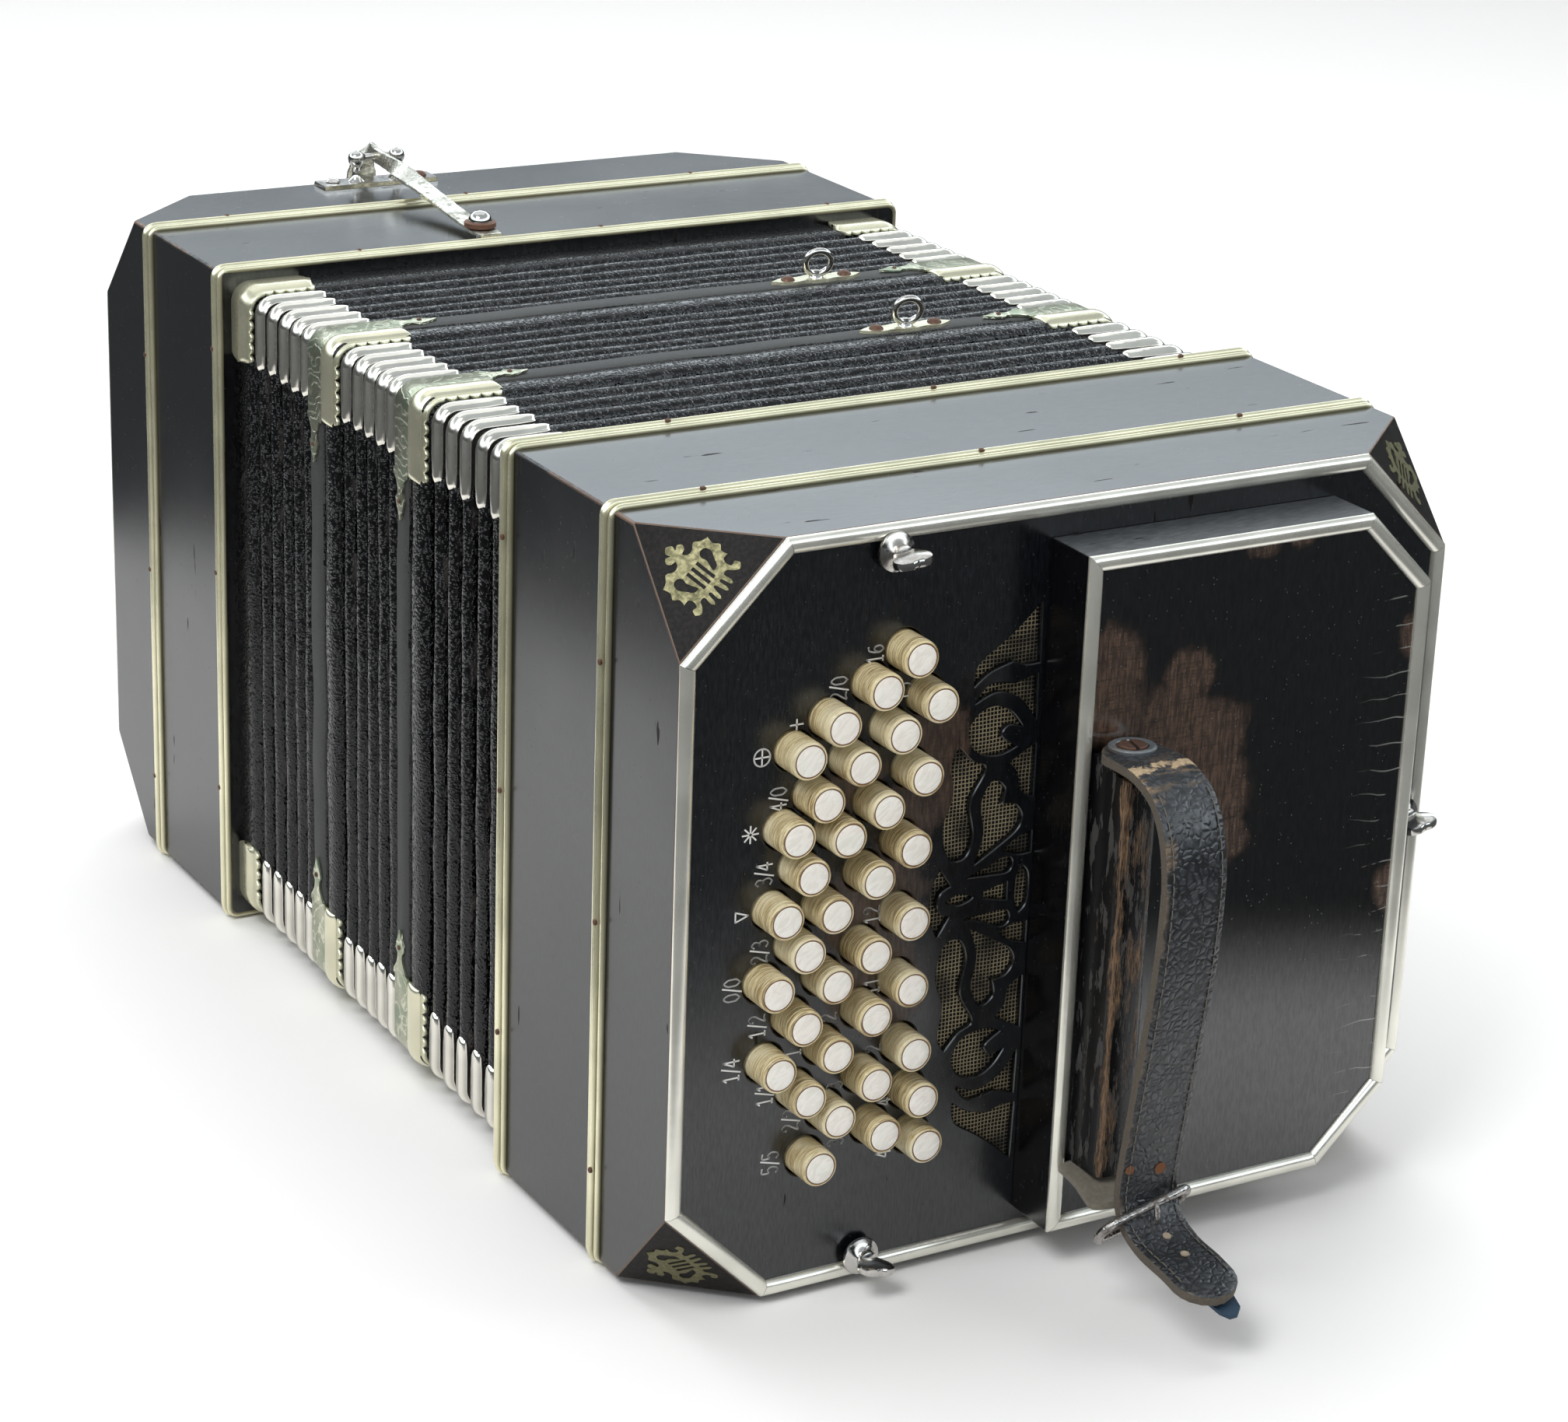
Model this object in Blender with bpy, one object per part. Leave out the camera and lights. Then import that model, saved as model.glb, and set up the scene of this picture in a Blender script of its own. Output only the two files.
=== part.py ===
"""A bandoneon with closed bellows: two wooden ends on a three-part bellows.

Metres, +Z up. The bellows run along Y, with the bass end at -Y and the treble end at +Y.
The hand boxes are at +X. The origin is under the middle, on the surface that it stands on.
Places on an end are given as (x, depth, z): depth counts inwards from the end plate's face,
and z counts from the middle of the case.
"""

import math

import bpy
import bmesh
from mathutils import Vector

MM = 0.001
GAP = 0.3 * MM  # between pieces that touch

# The cases
CASE_WIDTH = 244.5 * MM
CASE_HEIGHT = 217.0 * MM
LENGTH = 402.4 * MM
WALL = 8.0 * MM
FACET_CUT = 30.0 * MM  # the corner facet's legs on the end plate
FACET_DEPTH = 26.5 * MM  # where the facet runs out on the long edge
EDGE_BREAK = 0.5 * MM
ACTION_DEPTH = 36.7 * MM
REED_DEPTH = 101.4 * MM  # from the end plate's face to the bellows
MOULDING_WIDTH = 6.3 * MM
MOULDING_PROUD = 2.2 * MM
MOULDING_CORNER = 3.4 * MM
PLATE_THICK = 5.0 * MM
EDGING_WIDTH = 4.6 * MM
EDGING_PROUD = 1.8 * MM
MIDDLE_HEIGHT = CASE_HEIGHT / 2 + MOULDING_PROUD

# The buttons: (x, z) of each, in five bowed rows, from the hand box outwards
BUTTON_RADIUS = 5.3 * MM
BUTTON_PROUD = 9.0 * MM
BUTTON_REACH = 8.0 * MM  # how far it goes in behind the plate's face
HOLE_RADIUS = 5.85 * MM
BASS_ROWS = [
    [(-55.5, 73), (-48.5, 59.5), (-52, 39.5), (-54.5, 19.5), (-54, -1.5), (-53.5, -21),
     (-51.5, -40.5), (-48.5, -55), (-46.5, -69)],
    [(-65.5, 65.5), (-59.5, 52.5), (-63.5, 32), (-65.5, 12.5), (-65.5, -9), (-64.5, -27.5),
     (-63.5, -47), (-60, -63)],
    [(-78, 57.5), (-71.5, 45.5), (-75, 26), (-78, 5), (-77, -15.5), (-76, -36), (-74.5, -55.5)],
    [(-88, 50), (-82, 37), (-85.5, 17), (-86, -5), (-86, -26), (-84, -47.5), (-80, -68.5)],
    [(-90.5, 28.5), (-93, 6), (-95, -14.5), (-93.5, -38)],
]
BUTTON_SIDES = {-1: 10, 1: 8}
TREBLE_ROW_COUNTS = [8, 8, 8, 7, 6]
TREBLE_ROW_STEP = 10.5 * MM
TREBLE_PITCH = 17.5 * MM
TREBLE_BOW_RADIUS = 330.0 * MM

# The hand box, hand rail and strap
BOX_LEFT = -11.3 * MM
BOX_RIGHT = 103.5 * MM
BOX_TOP = 97.8 * MM
BOX_BOTTOM = -99.5 * MM
BOX_CUT = 22.0 * MM
BOX_HEIGHT = 17.5 * MM
BOX_WALL = 6.0 * MM
RAIL_LEFT = -5.6 * MM
RAIL_WIDTH = 13.0 * MM
RAIL_TOP = 42.0 * MM
RAIL_BOTTOM = -78.0 * MM
RAIL_HEIGHT = 14.0 * MM
STRAP_WIDTH = 19.0 * MM
STRAP_THICK = 2.6 * MM
STRAP_X = 1.5 * MM
# (proud of the plate's face, z) along the strap, from the screw to the tip of its tail
STRAP_ROUTE = [(31, 45.5), (36.5, 47.3), (44.5, 45), (51.5, 38), (55.5, 28), (56, 13), (55, -3),
               (53, -19), (50.5, -36), (48, -53), (45.5, -70), (45.5, -80), (51, -86), (60, -88.5),
               (72, -89.5), (83, -92)]
TAB_ROUTE = [(21, -80), (31, -81.5), (40, -81.2)]
BUCKLE_WIRE = 1.5 * MM

# The bellows, from the bass end: lip, section, frame, section, frame, section, lip
BELLOWS_INSET = 4.0 * MM
FOLDS = 5
VALLEY_DEPTH = 15.0 * MM
INNER_DEPTH = 19.0 * MM
CAP_LEG = 22.0 * MM
CAP_PROUD = 1.2 * MM
BELLOWS_CORNER = 6.0 * MM
LIP_LENGTHS = (7.0 * MM, 12.5 * MM)
SECTION_ENDS = [(101.4 * MM, 159.3 * MM), (179.9 * MM, 221.6 * MM), (242.2 * MM, 301.0 * MM)]
FRAME_ROLL = 10.6 * MM

# The air lever, its bracket and the valve that it lifts
LEVER_X = -27.0 * MM
PIVOT_DEPTH = 6.5 * MM
PIVOT_RISE = 9.5 * MM
BALL_SPACING = 15.0 * MM
BALL_RADIUS = 2.6 * MM
BRACKET_LENGTH = 42.0 * MM
BRACKET_WIDTH = 9.5 * MM
VALVE_DEPTH = 88.0 * MM
VALVE_ROD = 1.4 * MM
VALVE_PAD = 9.0 * MM

# The thumb screws: (x, z) on the plate
THUMB_PLACES = {"top": (-61.0, 101.2), "bottom": (-62.0, -102.0), "side": (114.0, -1.5)}
THUMB_FLANGE = 5.3 * MM
THUMB_BORE = 2.6 * MM

# The action behind the buttons, and the reed pan
COMB_DEPTH = (12.6 * MM, 16.2 * MM)
COMB_FREE_END = -99.0 * MM
COMB_RAIL = (-28.0 * MM, -18.0 * MM)
COMB_LEVERS = 35
COMB_PITCH = 4.9 * MM
PALLET_LEVERS = 12
PAN_DEPTHS = (58.0 * MM, 64.0 * MM)
REED_BLOCKS = 6

WOOD = ("black_lacquered_wood", (0.012, 0.011, 0.012), 0.25, 0.0)
RAIL_WOOD = ("worn_rail_wood", (0.10, 0.055, 0.03), 0.5, 0.0)
LEATHER = ("black_leather", (0.015, 0.015, 0.017), 0.6, 0.0)
NICKEL = ("nickel_silver", (0.72, 0.70, 0.62), 0.25, 1.0)
BONE = ("bone", (0.82, 0.72, 0.50), 0.35, 0.0)
GAUZE = ("gauze", (0.36, 0.29, 0.18), 0.9, 0.0)
SPRUCE = ("bare_wood", (0.55, 0.38, 0.22), 0.7, 0.0)


def clear_scene():
    for thing in list(bpy.data.objects):
        bpy.data.objects.remove(thing, do_unlink=True)


def material(kind):
    name, colour, roughness, metallic = kind
    made = bpy.data.materials.get(name)
    if made is None:
        made = bpy.data.materials.new(name)
        made.use_nodes = True
        shader = made.node_tree.nodes["Principled BSDF"]
        shader.inputs["Base Color"].default_value = (*colour, 1.0)
        shader.inputs["Roughness"].default_value = roughness
        shader.inputs["Metallic"].default_value = metallic
    return made


def add_object(name, mesh, kind, origin=Vector()):
    """Puts a bmesh in the scene as one named piece, with its origin where it turns or is held."""
    bmesh.ops.recalc_face_normals(mesh, faces=mesh.faces)
    bmesh.ops.translate(mesh, vec=-origin, verts=mesh.verts)
    data = bpy.data.meshes.new(name)
    mesh.to_mesh(data)
    mesh.free()
    made = bpy.data.objects.new(name, data)
    made.data.materials.append(material(kind))
    made.location = origin
    bpy.context.scene.collection.objects.link(made)
    return made


def holder(name, place):
    """An empty that carries the pieces of one rigid body."""
    made = bpy.data.objects.new(name, None)
    made.location = place
    bpy.context.scene.collection.objects.link(made)
    return made


def hold(carrier, pieces):
    for piece in pieces:
        piece.parent = carrier
        piece.location -= carrier.location


def loft(mesh, rings, closed=False):
    """Skins rings of equal length: capped at both ends, or run round to the first ring."""
    loops = [[mesh.verts.new(point) for point in ring] for ring in rings]
    count = len(loops[0])
    pairs = list(zip(loops, loops[1:]))
    if closed:
        pairs.append((loops[-1], loops[0]))
    for first, second in pairs:
        for i in range(count):
            j = (i + 1) % count
            mesh.faces.new((first[i], first[j], second[j], second[i]))
    if not closed:
        mesh.faces.new(loops[0])
        mesh.faces.new(list(reversed(loops[-1])))


def loft_object(name, rings, kind, origin=Vector(), closed=False):
    mesh = bmesh.new()
    loft(mesh, rings, closed)
    return add_object(name, mesh, kind, origin)


def boolean(piece, other, operation):
    """Joins or cuts with another object, which stays in the scene as a hidden helper."""
    other.hide_render = True
    other.display_type = "WIRE"
    modifier = piece.modifiers.new(operation.lower(), "BOOLEAN")
    modifier.operation = operation
    modifier.object = other
    return piece


def on_end(side, x, depth, z):
    """A point of an end: side is -1 for the bass end and 1 for the treble end."""
    return Vector((x, side * (LENGTH / 2 - depth), MIDDLE_HEIGHT + z))


def end_centre(side):
    return on_end(side, 0, 0, 0)


def along_bellows(from_bass, x, z):
    return Vector((x, from_bass - LENGTH / 2, MIDDLE_HEIGHT + z))


def cut_rectangle(half_x, half_z, cut):
    """The eight corners of a rectangle with cut corners, as (x, z)."""
    inner_x = half_x - cut
    inner_z = half_z - cut
    return [
        (inner_x, -half_z), (half_x, -inner_z), (half_x, inner_z), (inner_x, half_z),
        (-inner_x, half_z), (-half_x, inner_z), (-half_x, -inner_z), (-inner_x, -half_z),
    ]


def circle(x, z, radius, sides, turn=0.0):
    angles = [math.tau * (i + 0.5) / sides + turn for i in range(sides)]
    return [(x + radius * math.cos(a), z + radius * math.sin(a)) for a in angles]


def smooth_outline(points, sharp=()):
    """A closed curve through points in millimetres, with a point more on each stretch between them."""
    outline = []
    count = len(points)
    for i in range(count):
        before, here, after, beyond = (Vector(points[(i + k) % count]) for k in (-1, 0, 1, 2))
        leaving = Vector((0, 0)) if i in sharp else (after - before) / 2
        reaching = Vector((0, 0)) if (i + 1) % count in sharp else (beyond - here) / 2
        outline.append(here * MM)
        middle = (here + after) / 2 + (leaving - reaching) / 8
        outline.append(middle * MM)
    return outline


# The cases

def facet_cut(depth):
    return max(FACET_CUT * (1 - depth / FACET_DEPTH), EDGE_BREAK)


def case_ring(side, depth, proud=0.0, cut=None):
    outline = cut_rectangle(
        CASE_WIDTH / 2 + proud,
        CASE_HEIGHT / 2 + proud,
        facet_cut(depth) if cut is None else cut,
    )
    return [on_end(side, x, depth, z) for x, z in outline]


def moulding_rings(side, start):
    """Three beads round the case, as rings at growing depth. The case stands on their flat crests."""
    profile = [(0.0, 0.4), (0.05, 0.8), (0.12, 1.0), (0.22, 1.0), (0.33, 0.72), (0.44, 1.0),
               (0.56, 1.0), (0.67, 0.72), (0.78, 1.0), (0.88, 1.0), (0.95, 0.8), (1.0, 0.4)]
    return [
        case_ring(side, start + share * MOULDING_WIDTH, rise * MOULDING_PROUD, MOULDING_CORNER)
        for share, rise in profile
    ]


def inner_ring(side, depth):
    outline = cut_rectangle(CASE_WIDTH / 2 - WALL, CASE_HEIGHT / 2 - WALL, FACET_CUT)
    return [on_end(side, x, depth, z) for x, z in outline]


def action_case(name, side):
    front = PLATE_THICK + GAP
    back = ACTION_DEPTH + MOULDING_WIDTH
    rings = [case_ring(side, front), case_ring(side, FACET_DEPTH), case_ring(side, ACTION_DEPTH)]
    rings += moulding_rings(side, ACTION_DEPTH)
    rings += [inner_ring(side, back), inner_ring(side, front)]
    return loft_object(name, rings, WOOD, end_centre(side), closed=True)


def block(mesh, side, low, high):
    """A box on an end between two (x, depth, z) corners."""
    corners = [(low[0], low[2]), (high[0], low[2]), (high[0], high[2]), (low[0], high[2])]
    rings = [[on_end(side, x, depth, z) for x, z in corners] for depth in (low[1], high[1])]
    loft(mesh, rings)


def reed_case(name, side, with_valve):
    """The case frame with its reed pan, and the reed blocks on the pan's bellows side."""
    front = ACTION_DEPTH + MOULDING_WIDTH + GAP
    back = REED_DEPTH
    rings = [case_ring(side, front), case_ring(side, back - MOULDING_WIDTH)]
    rings += moulding_rings(side, back - MOULDING_WIDTH)
    piece = loft_object(name, rings, WOOD, end_centre(side))
    half_x = CASE_WIDTH / 2 - WALL
    half_z = CASE_HEIGHT / 2 - WALL
    pockets = bmesh.new()
    block(pockets, side, (-half_x, front - WALL, -half_z), (half_x, PAN_DEPTHS[0], half_z))
    block(pockets, side, (-half_x, PAN_DEPTHS[1] + WALL, -half_z), (half_x, back + WALL, half_z))
    cutter = add_object(name + "_pockets", pockets, SPRUCE)
    boolean(piece, cutter, "DIFFERENCE")
    channels = bmesh.new()
    pitch = 2 * half_x / REED_BLOCKS
    for i in range(REED_BLOCKS):
        middle = -half_x + (i + 0.5) * pitch
        half = pitch / 2 - WALL / 2
        top = half_z - 2.5 * WALL
        block(channels, side, (middle - half, PAN_DEPTHS[1], -top),
              (middle + half, PAN_DEPTHS[1] + 2 * WALL, top))
    boolean(piece, add_object(name + "_channels", channels, SPRUCE), "DIFFERENCE")
    if with_valve:
        add_valve_seat(piece, side, half_z)
    return piece


def valve_circle(radius, sides=12):
    return circle(LEVER_X, 0.0, radius, sides)


def upright(mesh, side, outline, low, high):
    """A column on an end between two heights; its outline is (x, depth from the valve's axis)."""
    loft(mesh, [[on_end(side, x, VALVE_DEPTH + d, z) for x, d in outline] for z in (low, high)])


def add_valve_seat(piece, side, half_z):
    """A shelf under the case's top with the air hole in it, and the bore for the valve's rod."""
    shelf = bmesh.new()
    top = seat_height()
    reach = VALVE_PAD + 3 * MM
    low = (LEVER_X - reach, PAN_DEPTHS[1] + WALL / 2, top - 4 * MM)
    block(shelf, side, low, (LEVER_X + reach, VALVE_DEPTH + reach, top))
    boolean(piece, add_object("valve_shelf", shelf, SPRUCE), "UNION")
    holes = bmesh.new()
    upright(holes, side, valve_circle(VALVE_PAD - 3 * MM), top - 9 * MM, top + 1 * MM)
    upright(holes, side, valve_circle(VALVE_ROD + 0.7 * MM), half_z - 4 * MM, half_z + 2 * WALL)
    boolean(piece, add_object("valve_holes", holes, SPRUCE), "DIFFERENCE")


def seat_height():
    return CASE_HEIGHT / 2 - 25 * MM


# The end plates

def plate_ring(side, depth, inset):
    """The octagon of the plate's face, drawn in evenly by inset."""
    cut = facet_cut(max(depth, 0.0)) - inset * (2 - math.sqrt(2))
    outline = cut_rectangle(CASE_WIDTH / 2 - inset, CASE_HEIGHT / 2 - inset, cut)
    return [on_end(side, x, depth, z) for x, z in outline]


def plate_blank(name, side):
    profile = [(PLATE_THICK, 0.0), (0.0, 0.0), (-0.6, 0.1), (-1.0, 0.35), (-0.7, 0.75), (0.0, 1.0)]
    rings = [plate_ring(side, PLATE_THICK, 0.0), plate_ring(side, 0.0, 0.0)]
    for rise, share in profile[2:]:
        rings.append(plate_ring(side, rise * EDGING_PROUD, share * EDGING_WIDTH))
    return loft_object(name, rings, WOOD, end_centre(side))


FRET_MIDDLE = -2.0
# Half of the fretwork in millimetres, above its middle line: points, and which of them are sharp
FRET_HALF = [
    ([(-13, 80), (-19, 74.5), (-25, 70), (-32, 65), (-33, 59), (-28, 62.5), (-21, 64.5),
      (-17, 63), (-12.5, 63)], (0, 4, 6, 8)),
    ([(-12.7, 46.7), (-18, 53.5), (-25.5, 56.5), (-32.5, 54), (-28, 59), (-20, 58), (-13, 60)],
     (0, 3, 5, 6)),
    ([(-34, 46), (-31, 51), (-25.5, 52.5), (-20.5, 50), (-17, 45.5), (-21.5, 46.5), (-23.5, 43.5),
      (-18.5, 40), (-24, 38.3), (-31, 40)], (4, 7)),
    ([(-36.5, 42.5), (-39, 38), (-37.8, 29), (-40.5, 20), (-38.5, 11), (-33.5, 10), (-31, 16),
      (-32.5, 26), (-28, 35), (-32.5, 38)], (0,)),
    ([(-12.3, 40), (-20.5, 35.5), (-17.5, 32), (-16.5, 27), (-12.3, 24.5)], (0, 1, 4)),
    ([(-30, 7.5), (-27.5, 16), (-28.8, 25), (-25.5, 31), (-21.5, 28.5), (-22.3, 23.8),
      (-18, 23.2), (-15.5, 19.5), (-17, 15.5), (-23, 11.5)], (0, 5)),
    ([(-12, 14.5), (-17, 13), (-21, 10), (-16, 8.2), (-12, 8.2)], (0, 2, 4)),
    ([(-32.5, 4), (-26.5, 5.8), (-20.5, 8.3), (-17.8, 6.8), (-19, 3.6), (-25, 3.6)], (0,)),
]
# The palmette's openings, which lie across the middle line
FRET_CENTRE = [
    ([(-40.8, 8), (-37.3, 2.5), (-40.3, 1), (-41.3, -2), (-40.3, -5), (-37.3, -6.5), (-40.8, -12),
      (-43.3, -6), (-43.3, 2)], (0, 1, 5, 6)),
    ([(-38.5, -2), (-34.5, -0.4), (-30, -2), (-34.5, -3.6)], (0,)),
    ([(-26.5, -1), (-19, 0.7), (-19, -4.7), (-26.5, -3)], (0, 1, 2, 3)),
    ([(-14.8, 5), (-12.4, 2), (-12.4, -6), (-14.8, -9), (-16.2, -5), (-16.2, 1)], (0, 3)),
]


def fret_openings(side):
    """Every opening of the fretwork as an outline in metres, the half ones mirrored."""
    def outline(points, sharp):
        return smooth_outline(points, sharp) if side < 0 else [Vector(p) * MM for p in points]

    openings = [outline(*drawn) for drawn in FRET_HALF]
    mirrored = [[Vector((p[0], 2 * FRET_MIDDLE * MM - p[1])) for p in o] for o in openings]
    return openings + mirrored + [outline(*drawn) for drawn in FRET_CENTRE]


def button_places(side):
    """(x, z) of each button in metres: the bass rows as listed, the treble ones on bowed rows."""
    if side < 0:
        return [(x * MM, z * MM) for row in BASS_ROWS for x, z in row]
    places = []
    for row, count in enumerate(TREBLE_ROW_COUNTS):
        for i in range(count):
            z = (i - (count - 1) / 2) * TREBLE_PITCH + (row % 2) * TREBLE_PITCH / 2 * (count > 7)
            bow = z * z / (2 * TREBLE_BOW_RADIUS)
            places.append((-54 * MM - row * TREBLE_ROW_STEP + bow, z))
    return places


def end_plate(name, side):
    piece = plate_blank(name, side)
    sides = BUTTON_SIDES[side]
    outlines = [circle(x, z, HOLE_RADIUS, sides) for x, z in button_places(side)]
    outlines += fret_openings(side)
    if side < 0:
        outlines += [circle(x * MM, z * MM, THUMB_BORE, 8) for x, z in THUMB_PLACES.values()]
    cutters = bmesh.new()
    for outline in outlines:
        loft(cutters, [[on_end(side, x, depth, z) for x, z in outline]
                       for depth in (-PLATE_THICK, 2 * PLATE_THICK)])
    boolean(piece, add_object(name + "_openings", cutters, WOOD), "DIFFERENCE")
    if side > 0:
        for place in THUMB_PLACES:
            boolean(piece, thumb_screw("treble_thumb_" + place, side, place, fixed=True), "UNION")
    return piece


def grille_cloth(name, side):
    """The gauze behind the fretwork, kept clear of the buttons beside it."""
    half = [(-9.5, 86), (-34.8, 86), (-36, 50), (-41.5, 44), (-44.6, 24)]
    outline = half + [(x, 2 * FRET_MIDDLE - z) for x, z in reversed(half)]
    depths = (PLATE_THICK + GAP, PLATE_THICK + 1.1 * MM)
    rings = [[on_end(side, x * MM, depth, z * MM) for x, z in outline] for depth in depths]
    return loft_object(name, rings, GAUZE, end_centre(side))


# Buttons and action

def button_rings(side, x, z, foot):
    outline = circle(x, z, BUTTON_RADIUS, BUTTON_SIDES[side])
    return [[on_end(side, px, depth, pz) for px, pz in outline] for depth in (foot, -BUTTON_PROUD)]


def bass_buttons():
    buttons = []
    for number, (x, z) in enumerate(button_places(-1), 1):
        rings = button_rings(-1, x, z, BUTTON_REACH)
        place = on_end(-1, x, 0, z)
        buttons.append(loft_object(f"bass_button_{number:02d}", rings, BONE, place))
    return buttons


def comb_outline():
    """The lever comb from the front: levers to the buttons on one side, to the pallets on the other."""
    free, (left, right) = COMB_FREE_END, COMB_RAIL
    pallet_end = 92 * MM
    outline = []
    half = COMB_LEVERS * COMB_PITCH / 2
    for i in range(COMB_LEVERS):
        low = -half + i * COMB_PITCH
        high = low + 0.82 * COMB_PITCH
        outline += [(left, low), (free, low), (free, high), (left, high)]
    step = 2 * half / PALLET_LEVERS
    for i in reversed(range(PALLET_LEVERS)):
        low = -half + (i + 0.25) * step
        high = low + step / 2
        outline += [(right, high), (pallet_end, high), (pallet_end, low), (right, low)]
    return outline


def key_action(name, side, with_buttons):
    """The levers behind an end plate. The treble buttons stand on them and are one piece with them."""
    rings = [[on_end(side, x, depth, z) for x, z in comb_outline()] for depth in COMB_DEPTH]
    piece = loft_object(name, rings, SPRUCE, end_centre(side))
    if with_buttons:
        buttons = bmesh.new()
        foot = (COMB_DEPTH[0] + COMB_DEPTH[1]) / 2
        for x, z in button_places(side):
            loft(buttons, button_rings(side, x, z, foot))
        boolean(piece, add_object(name + "_buttons", buttons, BONE), "UNION")
    return piece


# Hand box, rail, strap

def box_outline(inset):
    left = BOX_LEFT + inset
    right = BOX_RIGHT - inset
    top = BOX_TOP - inset
    bottom = BOX_BOTTOM + inset
    cut = BOX_CUT - inset * (2 - math.sqrt(2))
    small = 1.0 * MM
    return [
        (left + small, bottom), (right - cut, bottom), (right, bottom + cut), (right, top - cut),
        (right - cut, top), (left + small, top), (left, top - small), (left, bottom + small),
    ]


def hand_box(name, side):
    """An open-backed wooden box on the plate, with a half-round edging round its face.

    The treble end's hand rail is one piece with its box.
    """
    profile = [(-BOX_HEIGHT + BOX_WALL, BOX_WALL), (-GAP, BOX_WALL), (-GAP, 0.0),
               (-BOX_HEIGHT, 0.0)]
    profile += [(-BOX_HEIGHT - rise * EDGING_PROUD, share * EDGING_WIDTH)
                for rise, share in ((0.6, 0.12), (0.85, 0.4), (0.6, 0.75), (0.0, 1.0))]
    rings = [[on_end(side, x, depth, z) for x, z in box_outline(inset)] for depth, inset in profile]
    piece = loft_object(name, rings, WOOD, end_centre(side))
    if side > 0:
        boolean(piece, hand_rail("treble_hand_rail", side, sunk=2 * GAP), "UNION")
    return piece


def hand_rail(name, side, sunk=0.0):
    """A wooden bar on the hand box, its top ridge rounded, with a slanted upper end."""
    base = -BOX_HEIGHT - GAP + sunk
    left, right = RAIL_LEFT, RAIL_LEFT + RAIL_WIDTH
    section = [(left, base, 0.0), (left + 0.6 * MM, base - 0.85 * RAIL_HEIGHT, 0.7),
               (left + 2.6 * MM, base - RAIL_HEIGHT, 1.0), (right - 3 * MM, base - RAIL_HEIGHT, 1.0),
               (right - 0.8 * MM, base - 0.8 * RAIL_HEIGHT, 0.7), (right, base, 0.0)]
    slant = 4 * MM
    rings = [
        [on_end(side, x, depth, RAIL_BOTTOM) for x, depth, _ in section],
        [on_end(side, x, depth, RAIL_TOP - slant * share) for x, depth, share in section],
    ]
    return loft_object(name, rings, RAIL_WOOD, end_centre(side))


def ribbon_rings(side, route, width, thick, x=STRAP_X):
    """Rings of a flat strap along a route of (proud, z) points in millimetres."""
    points = [Vector((p * MM, z * MM)) for p, z in route]
    rings = []
    for i, point in enumerate(points):
        ahead = points[min(i + 1, len(points) - 1)] - points[max(i - 1, 0)]
        normal = Vector((ahead.y, -ahead.x)).normalized() * thick / 2
        rings.append([
            on_end(side, x + half * width / 2, -(point.x + face * normal.x), point.y + face * normal.y)
            for half, face in ((-1, -1), (1, -1), (1, 1), (-1, 1))
        ])
    return rings


def buckle_mesh(side):
    """A wire rectangle round the strap, near the foot of the rail."""
    half_x = STRAP_WIDTH / 2 + 3.0 * MM
    half_r = 6.5 * MM
    centre = Vector((44.5 * MM, -83.5 * MM))
    lean = Vector((0.93, -0.36)).normalized()
    up = Vector((-lean.y, lean.x))
    mesh = bmesh.new()
    rings = []
    for x, r in cut_rectangle(half_x, half_r, 2.5 * MM):
        out = Vector((x / half_x, r / half_r)).normalized()
        ring = []
        for k in range(6):
            a = math.tau * k / 6
            swell = BUCKLE_WIRE * math.cos(a)
            lift = BUCKLE_WIRE * math.sin(a)
            place = centre + lean * (r + out.y * swell) + up * lift
            ring.append(on_end(side, STRAP_X + x + out.x * swell, -place.x, place.y))
        rings.append(ring)
    loft(mesh, rings, closed=True)
    return mesh


def hand_strap(name, side):
    """The leather strap over the rail, with its buckle and the tab that holds the buckle."""
    strap = ribbon_rings(side, STRAP_ROUTE, STRAP_WIDTH, STRAP_THICK)
    piece = loft_object(name, strap, LEATHER, end_centre(side))
    tab = bmesh.new()
    loft(tab, ribbon_rings(side, TAB_ROUTE, STRAP_WIDTH - 3 * MM, STRAP_THICK))
    boolean(piece, add_object(name + "_tab", tab, LEATHER), "UNION")
    return boolean(piece, add_object(name + "_buckle", buckle_mesh(side), NICKEL), "UNION")


# Thumb screws

def thumb_screw(name, side, place, fixed=False):
    """A turned flange and neck with a flat wing. Its shank turns in the plate, unless it is fixed."""
    x, z = (v * MM for v in THUMB_PLACES[place])
    seat = EDGING_PROUD + GAP
    shank = 1.9 * MM
    turned = [(-seat - 1.2 * MM, THUMB_FLANGE), (-seat - 2.2 * MM, 2.6 * MM),
              (-seat - 4.2 * MM, 2.2 * MM)]
    if fixed:
        turned.insert(0, (PLATE_THICK / 2, THUMB_FLANGE))
    else:
        turned = [(PLATE_THICK - 0.6 * MM, shank), (-seat, shank), (-seat, THUMB_FLANGE)] + turned
    rings = [[on_end(side, px, depth, pz) for px, pz in circle(x, z, radius, 12)]
             for depth, radius in turned]
    piece = loft_object(name, rings, NICKEL, on_end(side, x, -seat, z))
    wing = bmesh.new()
    outline = [(-4.8, -3.2), (-5.6, -7.5), (-4.6, -10.5), (0, -12.2), (4.6, -10.5), (5.6, -7.5),
               (4.8, -3.2)]
    half = 1.4 * MM
    rings = [[on_end(side, x + px * MM, -seat + depth * MM, z + offset) for px, depth in outline]
             for offset in (-half, half)]
    loft(wing, rings)
    return boolean(piece, add_object(name + "_wing", wing, NICKEL), "UNION")


# Bellows

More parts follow.
